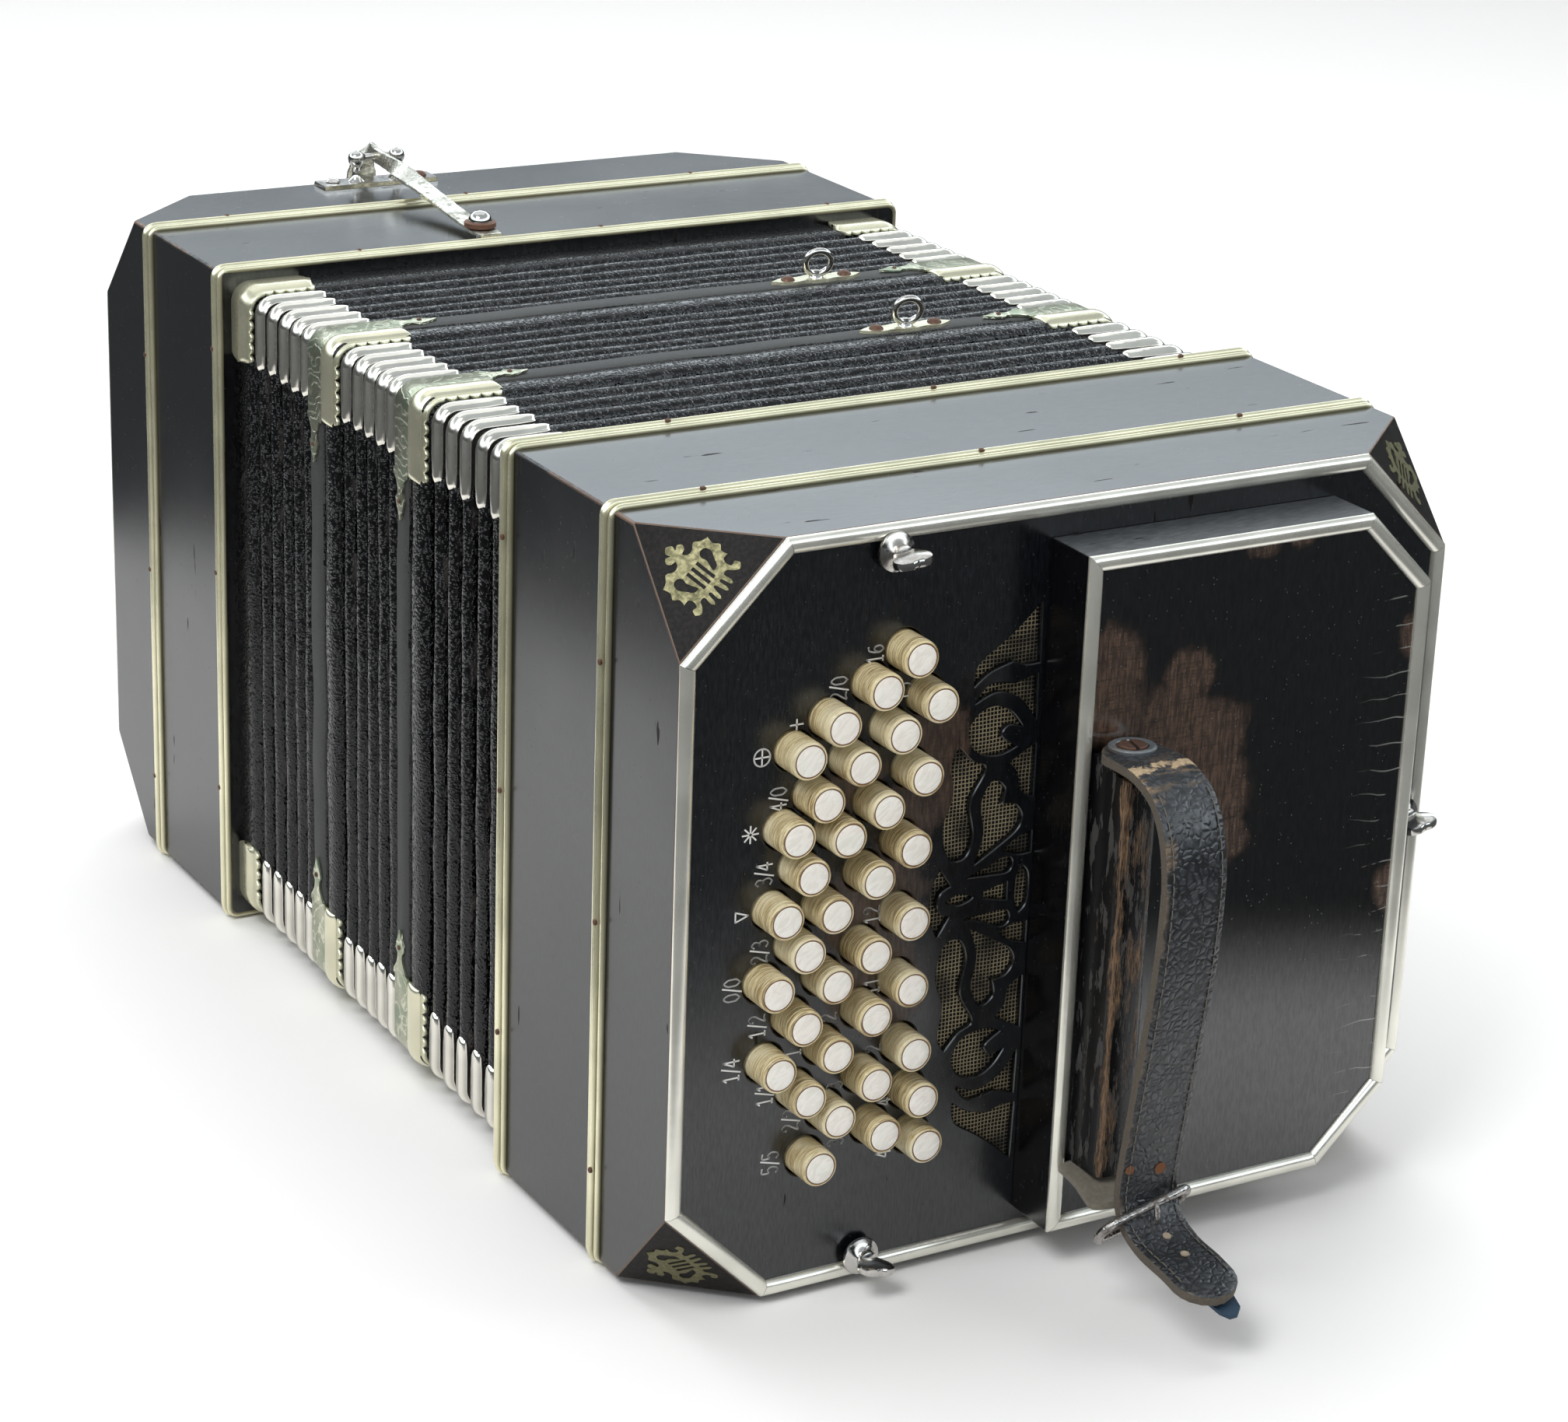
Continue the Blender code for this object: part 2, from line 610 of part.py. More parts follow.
def corner_ring(from_bass, plain, capped, spread=0.0):
    """A rounded rectangle whose corners, out to the caps' legs, may stand proud of its sides.

    plain and capped are insets from the case's faces. spread moves the capped points along Y.
    """
    points = []
    for sx, sz in ((1, -1), (1, 1), (-1, 1), (-1, -1)):
        def at(back_x, back_z, shift):
            x = sx * (CASE_WIDTH / 2 - back_x)
            z = sz * (CASE_HEIGHT / 2 - back_z)
            return along_bellows(from_bass + shift, x, z)
        leg = BELLOWS_INSET + CAP_LEG
        corner = [
            at(leg + 0.6 * MM, plain, 0.0), at(leg, capped, spread),
            at(capped + BELLOWS_CORNER, capped, spread), at(capped, capped + BELLOWS_CORNER, spread),
            at(capped, leg, spread), at(plain, leg + 0.6 * MM, 0.0),
        ]
        points += corner if sx * sz < 0 else corner[::-1]
    return points


def bellows_section(name, ends, lips):
    """A zigzag leather tube with a metal cap over each fold's corners, and plain lips at its ends."""
    start, end = ends[0] + GAP, ends[1] - GAP
    inset = BELLOWS_INSET
    valley = inset + VALLEY_DEPTH
    first, last = start + lips[0], end - lips[1]
    pitch = (last - first) / FOLDS
    crest = 0.16 * pitch
    cap = 0.13 * pitch
    rings = []
    if lips[0]:
        rings += [corner_ring(start, inset, inset), corner_ring(first - 1 * MM, inset, inset)]
    for i in range(FOLDS):
        rings.append(corner_ring(first + i * pitch, valley, valley))
        middle = first + (i + 0.5) * pitch
        rings.append(corner_ring(middle - crest, inset, inset - CAP_PROUD, -cap))
        rings.append(corner_ring(middle + crest, inset, inset - CAP_PROUD, cap))
    rings.append(corner_ring(last, valley, valley))
    if lips[1]:
        rings += [corner_ring(last + 1 * MM, inset, inset), corner_ring(end, inset, inset)]
    inner = inset + INNER_DEPTH
    rings += [corner_ring(end, inner, inner), corner_ring(start, inner, inner)]
    return loft_object(name, rings, LEATHER, along_bellows(start, 0, 0), closed=True)


def bellows_frame(name, start, end):
    """An intermediate frame: a leather roll on the bass side and a flat band with metal corners."""
    a, b = start + GAP, end - GAP
    inset = BELLOWS_INSET
    roll = [(0.0, 5.0), (0.12, 1.6), (0.45, 0.3), (0.85, 0.6), (1.0, 1.6)]
    rings = [corner_ring(a + share * FRAME_ROLL, inset - 0.8 * MM + drop * MM,
                         inset - 1.6 * MM + drop * MM) for share, drop in roll]
    rings += [corner_ring(a + FRAME_ROLL + 0.4 * MM, inset, inset - 1.0 * MM),
              corner_ring(b - 0.4 * MM, inset, inset - 1.0 * MM), corner_ring(b, inset + 0.5 * MM, inset)]
    inner = inset + INNER_DEPTH
    rings += [corner_ring(b, inner, inner), corner_ring(a, inner, inner)]
    return loft_object(name, rings, LEATHER, along_bellows((a + b) / 2, 0, 0), closed=True)


# Air lever, bracket and valve

def lever_point(from_pivot, rise):
    """A point of the lever's centre line: distance towards the bellows, and height over the top."""
    return on_end(1, LEVER_X, PIVOT_DEPTH + from_pivot, CASE_HEIGHT / 2 + rise)


# (distance towards the bellows, height over the top, width, thickness, twist in turns), in mm
LEVER_STATIONS = [
    (88, 5.6, 7.2, 1.6, 0.0), (60, 5.8, 7.2, 1.6, 0.0), (34, 6.6, 6.6, 1.7, 0.0),
    (22, 7.4, 5.6, 1.8, 0.12), (12, 8.4, 5.0, 2.0, 0.25), (0, 9.5, 5.0, 2.0, 0.25),
    (-6, 11, 5.2, 2.0, 0.2), (-12, 10.5, 6.5, 1.9, 0.06), (-17, 5, 9.0, 1.8, 0.0),
    (-18.5, -6, 12.5, 1.8, 0.0), (-18, -18, 14.0, 2.0, 0.0), (-16.5, -26, 9.0, 1.8, 0.0),
]


def air_lever(name):
    """A blade that turns edge up between the posts, flat at the valve's rod and at the thumb."""
    centres = [lever_point(s[0] * MM, s[1] * MM) for s in LEVER_STATIONS]
    rings = []
    for i, (_, _, width, thick, twist) in enumerate(LEVER_STATIONS):
        ahead = (centres[min(i + 1, len(centres) - 1)] - centres[max(i - 1, 0)]).normalized()
        across = Vector((1, 0, 0))
        over = across.cross(ahead).normalized()
        angle = math.tau * twist
        wide = (across * math.cos(angle) + over * math.sin(angle)) * width * MM / 2
        deep = (over * math.cos(angle) - across * math.sin(angle)) * thick * MM / 2
        rings.append([centres[i] + u * wide + v * deep
                      for u, v in ((-1, -1), (1, -1), (1, 1), (-1, 1))])
    piece = loft_object(name, rings, NICKEL, lever_point(0, PIVOT_RISE))
    slot = bmesh.new()
    half = VALVE_ROD + 0.5 * MM
    reach = (VALVE_DEPTH - 5 * MM, VALVE_DEPTH + 12 * MM)
    top = CASE_HEIGHT / 2
    block(slot, 1, (LEVER_X - half, reach[0], top), (LEVER_X + half, reach[1], top + 12 * MM))
    boolean(piece, add_object(name + "_slot", slot, NICKEL), "DIFFERENCE")
    pin = bmesh.new()
    pin_half = BALL_SPACING / 2 - BALL_RADIUS - 0.6 * MM
    loft(pin, [pivot_circle(LEVER_X + end * pin_half, 1.1 * MM) for end in (-1, 1)])
    return boolean(piece, add_object(name + "_pin", pin, NICKEL), "UNION")


def pivot_circle(x, radius):
    return [on_end(1, x, PIVOT_DEPTH + dy, CASE_HEIGHT / 2 + PIVOT_RISE + dz)
            for dy, dz in circle(0, 0, radius, 8)]


def lever_bracket(name):
    """A screwed plate with two turned posts that end in balls, either side of the lever."""
    top = CASE_HEIGHT / 2 + GAP
    low = (LEVER_X - BRACKET_LENGTH / 2, PIVOT_DEPTH - BRACKET_WIDTH / 2, top)
    high = (LEVER_X + BRACKET_LENGTH / 2, PIVOT_DEPTH + BRACKET_WIDTH / 2, top + 1.4 * MM)
    plate = bmesh.new()
    block(plate, 1, low, high)
    piece = add_object(name, plate, NICKEL, on_end(1, LEVER_X, PIVOT_DEPTH, CASE_HEIGHT / 2))
    posts = bmesh.new()
    profile = [(0.7, 2.6), (2.0, 2.2), (3.5, 1.3), (6.2, 1.3), (7.4, 2.2), (9.2, 2.6), (11, 2.0),
               (11.8, 0.8)]
    for end in (-1, 1):
        x = LEVER_X + end * BALL_SPACING / 2
        loft(posts, [[on_end(1, px, PIVOT_DEPTH + d, top + rise * MM)
                      for px, d in circle(x, 0, radius * MM, 8)] for rise, radius in profile])
    for end in (-1, 1):
        x = LEVER_X + end * (BRACKET_LENGTH / 2 - 5 * MM)
        loft(posts, [[on_end(1, px, PIVOT_DEPTH + d, top + rise * MM)
                      for px, d in circle(x, 0, radius * MM, 8)]
                     for rise, radius in ((0.7, 2.3), (1.9, 2.2), (3.0, 1.0))])
    return boolean(piece, add_object(name + "_posts", posts, NICKEL), "UNION")


def air_valve(name):
    """A pad on the air hole, its rod up through the case's top, and a domed screw on a washer."""
    seat = seat_height() + GAP
    top = CASE_HEIGHT / 2
    profile = [(seat, VALVE_PAD), (seat + 3 * MM, VALVE_PAD), (seat + 3 * MM, VALVE_ROD),
               (top + 7.1 * MM, VALVE_ROD), (top + 7.1 * MM, 4.6 * MM), (top + 8.9 * MM, 4.6 * MM),
               (top + 9.1 * MM, 3.4 * MM), (top + 11.1 * MM, 1.6 * MM)]
    rings = [[on_end(1, x, VALVE_DEPTH + d, z) for x, d in valve_circle(radius)]
             for z, radius in profile]
    return loft_object(name, rings, NICKEL, on_end(1, LEVER_X, VALVE_DEPTH, seat))


def build():
    clear_scene()
    for side, end in ((-1, "bass"), (1, "treble")):
        hold(holder(end + "_end", end_centre(side)), [
            end_plate(end + "_end_plate", side),
            action_case(end + "_action_case", side),
            reed_case(end + "_reed_case", side, with_valve=side > 0),
            key_action(end + "_key_action", side, with_buttons=side > 0),
            hand_box(end + "_hand_box", side),
            hand_strap(end + "_hand_strap", side),
        ])
    bass_end = bpy.data.objects["bass_end"]
    treble_end = bpy.data.objects["treble_end"]
    hold(bass_end, [hand_rail("bass_hand_rail", -1), grille_cloth("bass_grille_cloth", -1)])
    hold(bass_end, bass_buttons())
    hold(bass_end, [thumb_screw("bass_thumb_screw_" + place, -1, place) for place in THUMB_PLACES])
    hold(treble_end, [lever_bracket("air_lever_bracket"), air_lever("air_lever"), air_valve("air_valve")])
    lips = ((LIP_LENGTHS[0], 0.0), (0.0, 0.0), (0.0, LIP_LENGTHS[1]))
    for name, ends, lip in zip(("bass", "middle", "treble"), SECTION_ENDS, lips):
        bellows_section("bellows_section_" + name, ends, lip)
    bellows_frame("bellows_frame_bass", SECTION_ENDS[0][1], SECTION_ENDS[1][0])
    bellows_frame("bellows_frame_treble", SECTION_ENDS[1][1], SECTION_ENDS[2][0])


build()
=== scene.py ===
"""The looks of a closed bandoneon: worn black lacquer, nickel, folded leather and bone buttons.

+Z up. The bellows run along Y, with the bass end at -Y and the treble end at +Y.
A place on an end is (x, depth, z): depth counts inwards from the end plate's face, and z
counts from the middle of the case. Lengths are in millimetres until on_end, along or turned
makes metres of them.
"""

import math

import bpy
import bmesh
from mathutils import Matrix, Vector, noise
from mathutils.geometry import tessellate_polygon

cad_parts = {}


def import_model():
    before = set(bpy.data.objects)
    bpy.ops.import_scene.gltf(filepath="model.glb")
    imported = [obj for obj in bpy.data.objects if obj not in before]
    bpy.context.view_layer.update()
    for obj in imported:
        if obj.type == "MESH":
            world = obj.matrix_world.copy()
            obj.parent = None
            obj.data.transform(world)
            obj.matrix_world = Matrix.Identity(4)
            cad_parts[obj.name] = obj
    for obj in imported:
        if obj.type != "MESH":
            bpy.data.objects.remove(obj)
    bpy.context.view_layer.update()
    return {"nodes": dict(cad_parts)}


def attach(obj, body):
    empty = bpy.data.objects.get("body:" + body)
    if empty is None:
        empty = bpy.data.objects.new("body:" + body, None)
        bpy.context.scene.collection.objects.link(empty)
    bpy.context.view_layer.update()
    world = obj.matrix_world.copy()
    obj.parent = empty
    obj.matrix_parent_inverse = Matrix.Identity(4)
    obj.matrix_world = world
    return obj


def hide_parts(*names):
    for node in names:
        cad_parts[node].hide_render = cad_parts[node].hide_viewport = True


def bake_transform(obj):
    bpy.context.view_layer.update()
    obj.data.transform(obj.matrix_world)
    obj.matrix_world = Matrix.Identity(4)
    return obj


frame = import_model()

MM = 0.001
CORNERS = ((-1, -1), (-1, 1), (1, -1), (1, 1))

# The case and the ends
HALF_WIDTH = 122.25
HALF_HEIGHT = 108.5
LENGTH = 402.4
FACET_CUT = 30.0
FACET_DEPTH = 26.5
EDGE_BREAK = 0.5
ACTION_DEPTH = 36.7
REED_DEPTH = 101.4
MOULDING_WIDTH = 6.3
MOULDING_PROUD = 2.2
WALL = 8.0
PLATE_THICK = 5.0
EDGING_WIDTH = 4.6
EDGING_PROUD = 1.8
MIDDLE_HEIGHT = HALF_HEIGHT + MOULDING_PROUD
END_NAMES = {-1: "bass", 1: "treble"}

# The keyboard
BUTTON_RADIUS = 5.3
HOLE_RADIUS = 6.0
PEARL_RADIUS = 4.25
BASS_ROWS = [
    [(-55.5, 73), (-48.5, 59.5), (-52, 39.5), (-54.5, 19.5), (-54, -1.5), (-53.5, -21),
     (-51.5, -40.5), (-48.5, -55), (-46.5, -69)],
    [(-65.5, 65.5), (-59.5, 52.5), (-63.5, 32), (-65.5, 12.5), (-65.5, -9), (-64.5, -27.5),
     (-63.5, -47), (-60, -63)],
    [(-78, 57.5), (-71.5, 45.5), (-75, 26), (-78, 5), (-77, -15.5), (-76, -36), (-74.5, -55.5)],
    [(-88, 50), (-82, 37), (-85.5, 17), (-86, -5), (-86, -26), (-84, -47.5), (-80, -68.5)],
    [(-90.5, 28.5), (-93, 6), (-95, -14.5), (-93.5, -38)],
]
TREBLE_ROW_COUNTS = [8, 8, 8, 7, 6]
TREBLE_FIRST_ROW = -54.0
TREBLE_ROW_STEP = 10.5
TREBLE_PITCH = 17.5
TREBLE_BOW_RADIUS = 330.0

# The hand box, rail and strap
BOX_LEFT, BOX_RIGHT = -11.3, 103.5
BOX_TOP, BOX_BOTTOM = 97.8, -99.5
BOX_CUT = 22.0
BOX_HEIGHT = 17.5
RAIL_LEFT, RAIL_WIDTH = -5.6, 13.0
RAIL_TOP, RAIL_BOTTOM = 42.0, -78.0
RAIL_HEIGHT = 14.0
STRAP_WIDTH = 19.0
STRAP_THICK = 3.1
STRAP_X = 1.5
# The way of the strap and of the tab under it, as (distance out from the end plate, z)
STRAP_ROUTE = [(17.9, 43.2), (24, 43.0), (33, 43.5), (41, 42.6), (48.5, 38.8), (53.5, 31), (56, 20),
               (56, 8), (55, -6), (53, -21), (50.5, -37), (48, -53), (45.8, -68), (45.2, -78),
               (49, -84.5), (57, -88), (69, -89.3), (82, -92)]
TAB_ROUTE = [(19, -79.5), (27, -80.5), (35, -83.5), (40, -82)]

# The bellows: where each fold's crest lies, counted from the bass end's face
BELLOWS_INSET = 4.0
VALLEY_DEPTH = 15.0
CREST_HALF = 2.75
CREST_ROUND = 3.0
FOLD_SWAY = 0.4
BELLOWS_CORNER = 5.0
CAP_HALF = 3.2
CAP_LEG = 22.0
SECTIONS = {
    "bass": {"bodies": ("bass_end", "bellows_frame_bass"), "ends": (101.4, 159.4), "seed": 0,
             "lips": (7.6, 0.0), "crests": (115.0, 124.4, 134.4, 143.4, 152.9)},
    "middle": {"bodies": ("bellows_frame_bass", "bellows_frame_treble"), "ends": (179.7, 221.7),
               "seed": 20, "lips": (0.0, 0.0), "crests": (183.8, 191.6, 199.4, 207.5, 215.9)},
    "treble": {"bodies": ("bellows_frame_treble", "treble_end"), "ends": (242.3, 301.0),
               "seed": 40, "lips": (0.0, 13.3), "crests": (246.2, 254.2, 262.6, 271.8, 281.1)},
}
FRAMES = {"bellows_frame_bass": (159.4, 170.1, 179.7), "bellows_frame_treble": (221.7, 231.9, 242.3)}
FRAME_LEG = 25.5
LIP_PLATE_ENDS = (287.7, 300.9)
LIP_LEG = 23.5
PLATE_SURFACE = BELLOWS_INSET - 0.25

# The thumb screws: (x, z, turn in degrees) on each plate
THUMB_PLACES = {"top": (-61.0, 101.2, 8.0), "bottom": (-62.0, -102.0, -12.0), "side": (114.0, -1.5, 14.0)}

# The air lever, on top of the treble end
LEVER_X = -27.0
PIVOT_DEPTH = 6.5
PIVOT_RISE = 9.5
BALL_SPACING = 15.0
BRACKET_HALF = (21.0, 4.75)
VALVE_DEPTH = 88.0


# Places

def on_end(side, x, depth, z):
    """A point of an end, in metres: side is -1 for the bass end and 1 for the treble end."""
    return Vector((x * MM, side * (LENGTH / 2 - depth) * MM, (MIDDLE_HEIGHT + z) * MM))


def along(from_bass, x, z):
    """A point of the bellows, by its distance from the bass end's face."""
    return on_end(-1, x, from_bass, z)


def button_places(side):
    """(x, z) of each button: the bass rows as listed, the treble ones on bowed rows."""
    if side < 0:
        return [place for row in BASS_ROWS for place in row]
    places = []
    for row, count in enumerate(TREBLE_ROW_COUNTS):
        shift = TREBLE_PITCH / 2 if row % 2 and count > 7 else 0.0
        for i in range(count):
            z = (i - (count - 1) / 2) * TREBLE_PITCH + shift
            places.append((TREBLE_FIRST_ROW - row * TREBLE_ROW_STEP + z * z / (2 * TREBLE_BOW_RADIUS), z))
    return places


# Outlines

def circle(x, z, radius, sides):
    angles = [math.tau * (i + 0.5) / sides for i in range(sides)]
    return [(x + radius * math.cos(a), z + radius * math.sin(a)) for a in angles]


def cut_rectangle(half_x, half_z, cut):
    """The eight corners of a rectangle with cut corners."""
    inner_x, inner_z = half_x - cut, half_z - cut
    right = [(inner_x, -half_z), (half_x, -inner_z), (half_x, inner_z), (inner_x, half_z)]
    return right + [(-x, -z) for x, z in right]


def rounded_rectangle(half_x, half_z, radius, along_x, along_z, arc=6):
    """Points round a rectangle with round corners, with extra points on its straight sides."""
    corners = []
    for sx, sz, turn in ((1, -1, -90), (1, 1, 0), (-1, 1, 90), (-1, -1, 180)):
        angles = [math.radians(turn + 90 * k / arc) for k in range(arc + 1)]
        cx, cz = sx * (half_x - radius), sz * (half_z - radius)
        corners.append([(cx + radius * math.cos(a), cz + radius * math.sin(a)) for a in angles])
    points = []
    for i, corner in enumerate(corners):
        points += corner
        start, end = Vector(corner[-1]), Vector(corners[(i + 1) % 4][0])
        runs = along_z if i % 2 == 0 else along_x
        points += [tuple(start.lerp(end, k / runs)) for k in range(1, runs)]
    return points


def spline(points, steps, closed=False, sharp=()):
    """A smooth curve through points, with steps stretches between each two of them."""
    points = [Vector(p) for p in points]
    count = len(points)
    still = points[0] * 0
    curve = []
    for i in range(count if closed else count - 1):
        before, here, after, beyond = (
            points[(i + k) % count] if closed else points[min(max(i + k, 0), count - 1)]
            for k in (-1, 0, 1, 2)
        )
        leave = still if i in sharp else (after - before) / 2
        reach = still if (i + 1) % count in sharp else (beyond - here) / 2
        for k in range(steps):
            t = k / steps
            curve.append(
                here * (2 * t**3 - 3 * t**2 + 1) + after * (3 * t**2 - 2 * t**3)
                + leave * (t**3 - 2 * t**2 + t) + reach * (t**3 - t**2)
            )
    return curve if closed else curve + [points[-1]]


def offset(outline, distance):
    """A closed outline moved sideways, to its right for a positive distance."""
    moved = []
    count = len(outline)
    for i in range(count):
        here = Vector(outline[i])
        ahead = (Vector(outline[(i + 1) % count]) - here).normalized()
        behind = (here - Vector(outline[i - 1])).normalized()
        heading = ahead + behind
        if heading.length < 0.2:
            heading = ahead
        heading.normalize()
        moved.append(here + Vector((heading.y, -heading.x)) * distance)
    return moved


def area(outline):
    return sum(a[0] * b[1] - b[0] * a[1] for a, b in zip(outline, [*outline[1:], outline[0]])) / 2


def anticlockwise(outline):
    return list(outline) if area(outline) > 0 else list(reversed(outline))


def mirrored(points):
    """Points with their x turned round."""
    return [Vector((-p[0], p[1])) for p in points]


def rounding(reach, length):
    """How wide a round tip is, as a share, at a distance from its end."""
    return math.sqrt(max(1 - (1 - min(reach / length, 1.0)) ** 2, 0.02))


# Meshes

def band(mesh, first, second, paint=0):
    """A strip of faces between two loops of vertices."""
    count = len(first)
    for i in range(count):
        j = (i + 1) % count
        mesh.faces.new((first[i], first[j], second[j], second[i])).material_index = paint


def skin(mesh, rings, closed=False, paint=0):
    """Skins rings of equal length, capped at both ends or run round to the first ring."""
    loops = [[mesh.verts.new(point) for point in ring] for ring in rings]
    for first, second in zip(loops, loops[1:] + loops[:1] if closed else loops[1:]):
        band(mesh, first, second, paint)
    if not closed:
        for cap in (loops[0], loops[-1][::-1]):
            mesh.faces.new(cap).material_index = paint


def shell(rings, closed=False):
    mesh = bmesh.new()
    skin(mesh, rings, closed)
    return mesh


def slab(mesh, outline, holes, low, high):
    """A plate with holes between two surfaces, each given as a function of (x, y)."""
    loops = [anticlockwise(outline)] + [anticlockwise(hole)[::-1] for hole in holes]
    flat = [[Vector((*p, 0)) for p in loop] for loop in loops]
    layers = [[mesh.verts.new(surface(p.x, p.y)) for loop in flat for p in loop] for surface in (low, high)]
    for triangle in tessellate_polygon(flat):
        for verts in layers:
            mesh.faces.new([verts[i] for i in triangle])
    start = 0
    for loop in flat:
        end = start + len(loop)
        band(mesh, layers[0][start:end], layers[1][start:end])
        start = end


def turned(mesh, centre, axis, profile, sides=24, paint=0):
    """A turned solid: profile holds (distance along the axis, radius), both in millimetres."""
    axis = Vector(axis).normalized()
    across = axis.orthogonal().normalized()
    third = axis.cross(across)
    angles = [math.tau * i / sides for i in range(sides)]
    skin(mesh, [[centre + axis * reach * MM + (across * math.cos(a) + third * math.sin(a)) * radius * MM
                 for a in angles] for reach, radius in profile], paint=paint)


def tube(mesh, points, radius, sides, closed=False, paint=0):
    """A round bar along points, whose ring stays level with the one before it."""
    rings = []
    count = len(points)
    across = None
    angles = [math.tau * k / sides for k in range(sides)]
    for i, point in enumerate(points):
        ahead = points[(i + 1) % count] if closed or i < count - 1 else point
        behind = points[i - 1] if closed or i > 0 else point
        heading = (ahead - behind).normalized()
        across = heading.orthogonal() if across is None else across
        across = (across - heading * across.dot(heading)).normalized()
        third = heading.cross(across)
        rings.append([point + (across * math.cos(a) + third * math.sin(a)) * radius * MM for a in angles])
    skin(mesh, rings, closed, paint)


def paint_points(made, name, values):
    """Gives each vertex a number that the material reads."""
    made.data.attributes.new(name, "FLOAT", "POINT").data.foreach_set("value", values)


def piece(name, mesh, looks, body, slot, smooth=35, bevel=0.0, stands_for=()):
    """Puts a mesh in the scene as a piece that rides on a body. looks names its materials in M."""
    bmesh.ops.recalc_face_normals(mesh, faces=mesh.faces)
    data = bpy.data.meshes.new(name)
    mesh.to_mesh(data)
    mesh.free()
    data.shade_smooth()
    data.set_sharp_from_angle(angle=math.radians(smooth))
    made = bpy.data.objects.new(name, data)
    for look in looks.split():
        data.materials.append(M[look])
    bpy.context.scene.collection.objects.link(made)
    if bevel:
        modifier = made.modifiers.new("bevel", "BEVEL")
        modifier.width = bevel * MM
        modifier.segments = 3
        modifier.limit_method = "ANGLE"
        modifier.angle_limit = math.radians(14)
        modifier.harden_normals = True
    if body:
        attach(made, body)
    if stands_for:
        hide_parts(*stands_for)
    return made


def end_piece(side, name, mesh, looks, slot, node="", **more):
    """A piece of one end. node is the solid it replaces, where that end has one."""
    end = END_NAMES[side]
    stands_for = (f"{end}_{node}",) if f"{end}_{node}" in frame["nodes"] else ()
    return piece(f"{end}_{name}", mesh, looks, end + "_end", slot, stands_for=stands_for, **more)


# Materials

class Field:
    """One output of a shader node. Arithmetic on it adds Math nodes."""

    def __init__(self, socket):
        self.socket = socket

    def output(self, name):
        """Another output of the same node."""
        return Field(self.socket.node.outputs[name])

    def math(self, operation, other=0.0):
        return add(self.socket.id_data, "Math", {0: self, 1: other}, operation=operation)

    def __add__(self, other):
        return self.math("ADD", other)

    def __sub__(self, other):
        return self.math("SUBTRACT", other)

    def __mul__(self, other):
        return self.math("MULTIPLY", other)

    def over(self, other):
        """The greater of the two."""
        return self.math("MAXIMUM", other)

    def inverse(self):
        return add(self.socket.id_data, "Math", {0: 1.0, 1: self}, operation="SUBTRACT")

    def fade(self, low, high, out_low=0.0, out_high=1.0):
        """Carries the range low to high over to out_low to out_high, smoothly and clamped."""
        return add(self.socket.id_data, "MapRange", {
            "Value": self, "From Min": low, "From Max": high, "To Min": out_low, "To Max": out_high,
        }, interpolation_type="SMOOTHSTEP")

    def mix(self, first, second, mode="MIX"):
        """A colour that goes from the first to the second as this goes from 0 to 1."""
        return add(self.socket.id_data, "Mix", {0: self, 6: first, 7: second}, 2, data_type="RGBA",
                   blend_type=mode)


def feed(node, inputs):
    """Gives sockets, by name or number, a value or another node's output."""
    for name, value in inputs.items():
        socket = node.inputs[name.replace("_", " ") if isinstance(name, str) else name]
        if isinstance(value, Field):
            node.id_data.links.new(value.socket, socket)
        elif socket.type == "RGBA":
            socket.default_value = (*value[:3], 1.0)
        else:
            socket.default_value = value


def add(tree, kind, inputs, output=0, **settings):
    """Adds a shader node and gives one of its outputs."""
    node = tree.nodes.new("ShaderNode" + kind)
    for name, value in settings.items():
        setattr(node, name, value)
    feed(node, inputs)
    return Field(node.outputs[output])


def shades(colour, *factors):
    return [[c * factor for c in colour] for factor in factors]


class Surface:
    """A material with a Principled BSDF, and the textures that drive it, by places in metres."""

    def __init__(self, name, colour, roughness, metallic=0.0, **sockets):
        self.material = bpy.data.materials.new(name)
        self.material.use_nodes = True
        self.material.diffuse_color = (*colour, 1.0)
        self.tree = self.material.node_tree
        self.shader = self.tree.nodes["Principled BSDF"]
        feed(self.shader, {"Base Color": colour, "Roughness": roughness, "Metallic": metallic, **sockets})
        self.place = self.node("TexCoord", output="Object")

    def node(self, kind, inputs=None, output=0, **settings):
        return add(self.tree, kind, inputs or {}, output, **settings)

    def vectors(self, operation, first, second, output="Vector"):
        return self.node("VectorMath", {0: first, 1: second}, output, operation=operation)

    def mapped(self, scale=(1.0, 1.0, 1.0), turn=(0.0, 0.0, 0.0), place=None):
        return self.node("Mapping", {"Vector": place or self.place, "Rotation": turn, "Scale": scale})

    def warped(self, scale, reach):
        """The places, shifted about by a noise."""
        noisy = self.node("TexNoise", {"Vector": self.place, "Scale": scale}, "Color")
        shift = self.node("VectorMath", {0: noisy, "Scale": reach}, operation="SCALE")
        return self.vectors("ADD", self.place, shift)

    def grain(self, scale, detail=3.0, roughness=0.55, place=None, distortion=0.0):
        return self.node("TexNoise", {"Vector": place or self.place, "Scale": scale, "Detail": detail,
                                      "Roughness": roughness, "Distortion": distortion})

    def painted(self, name):
        """A number that each vertex carries."""
        return self.node("Attribute", output="Fac", attribute_name=name)

    def finish(self, colour, height, depth, strength, **sockets):
        """Plugs in the colour, a bump whose depth is in millimetres, and other sockets."""
        normal = self.node("Bump", {"Height": height, "Distance": depth * MM, "Strength": strength})
        feed(self.shader, {"Base Color": colour, "Normal": normal, **sockets})
        return self.material


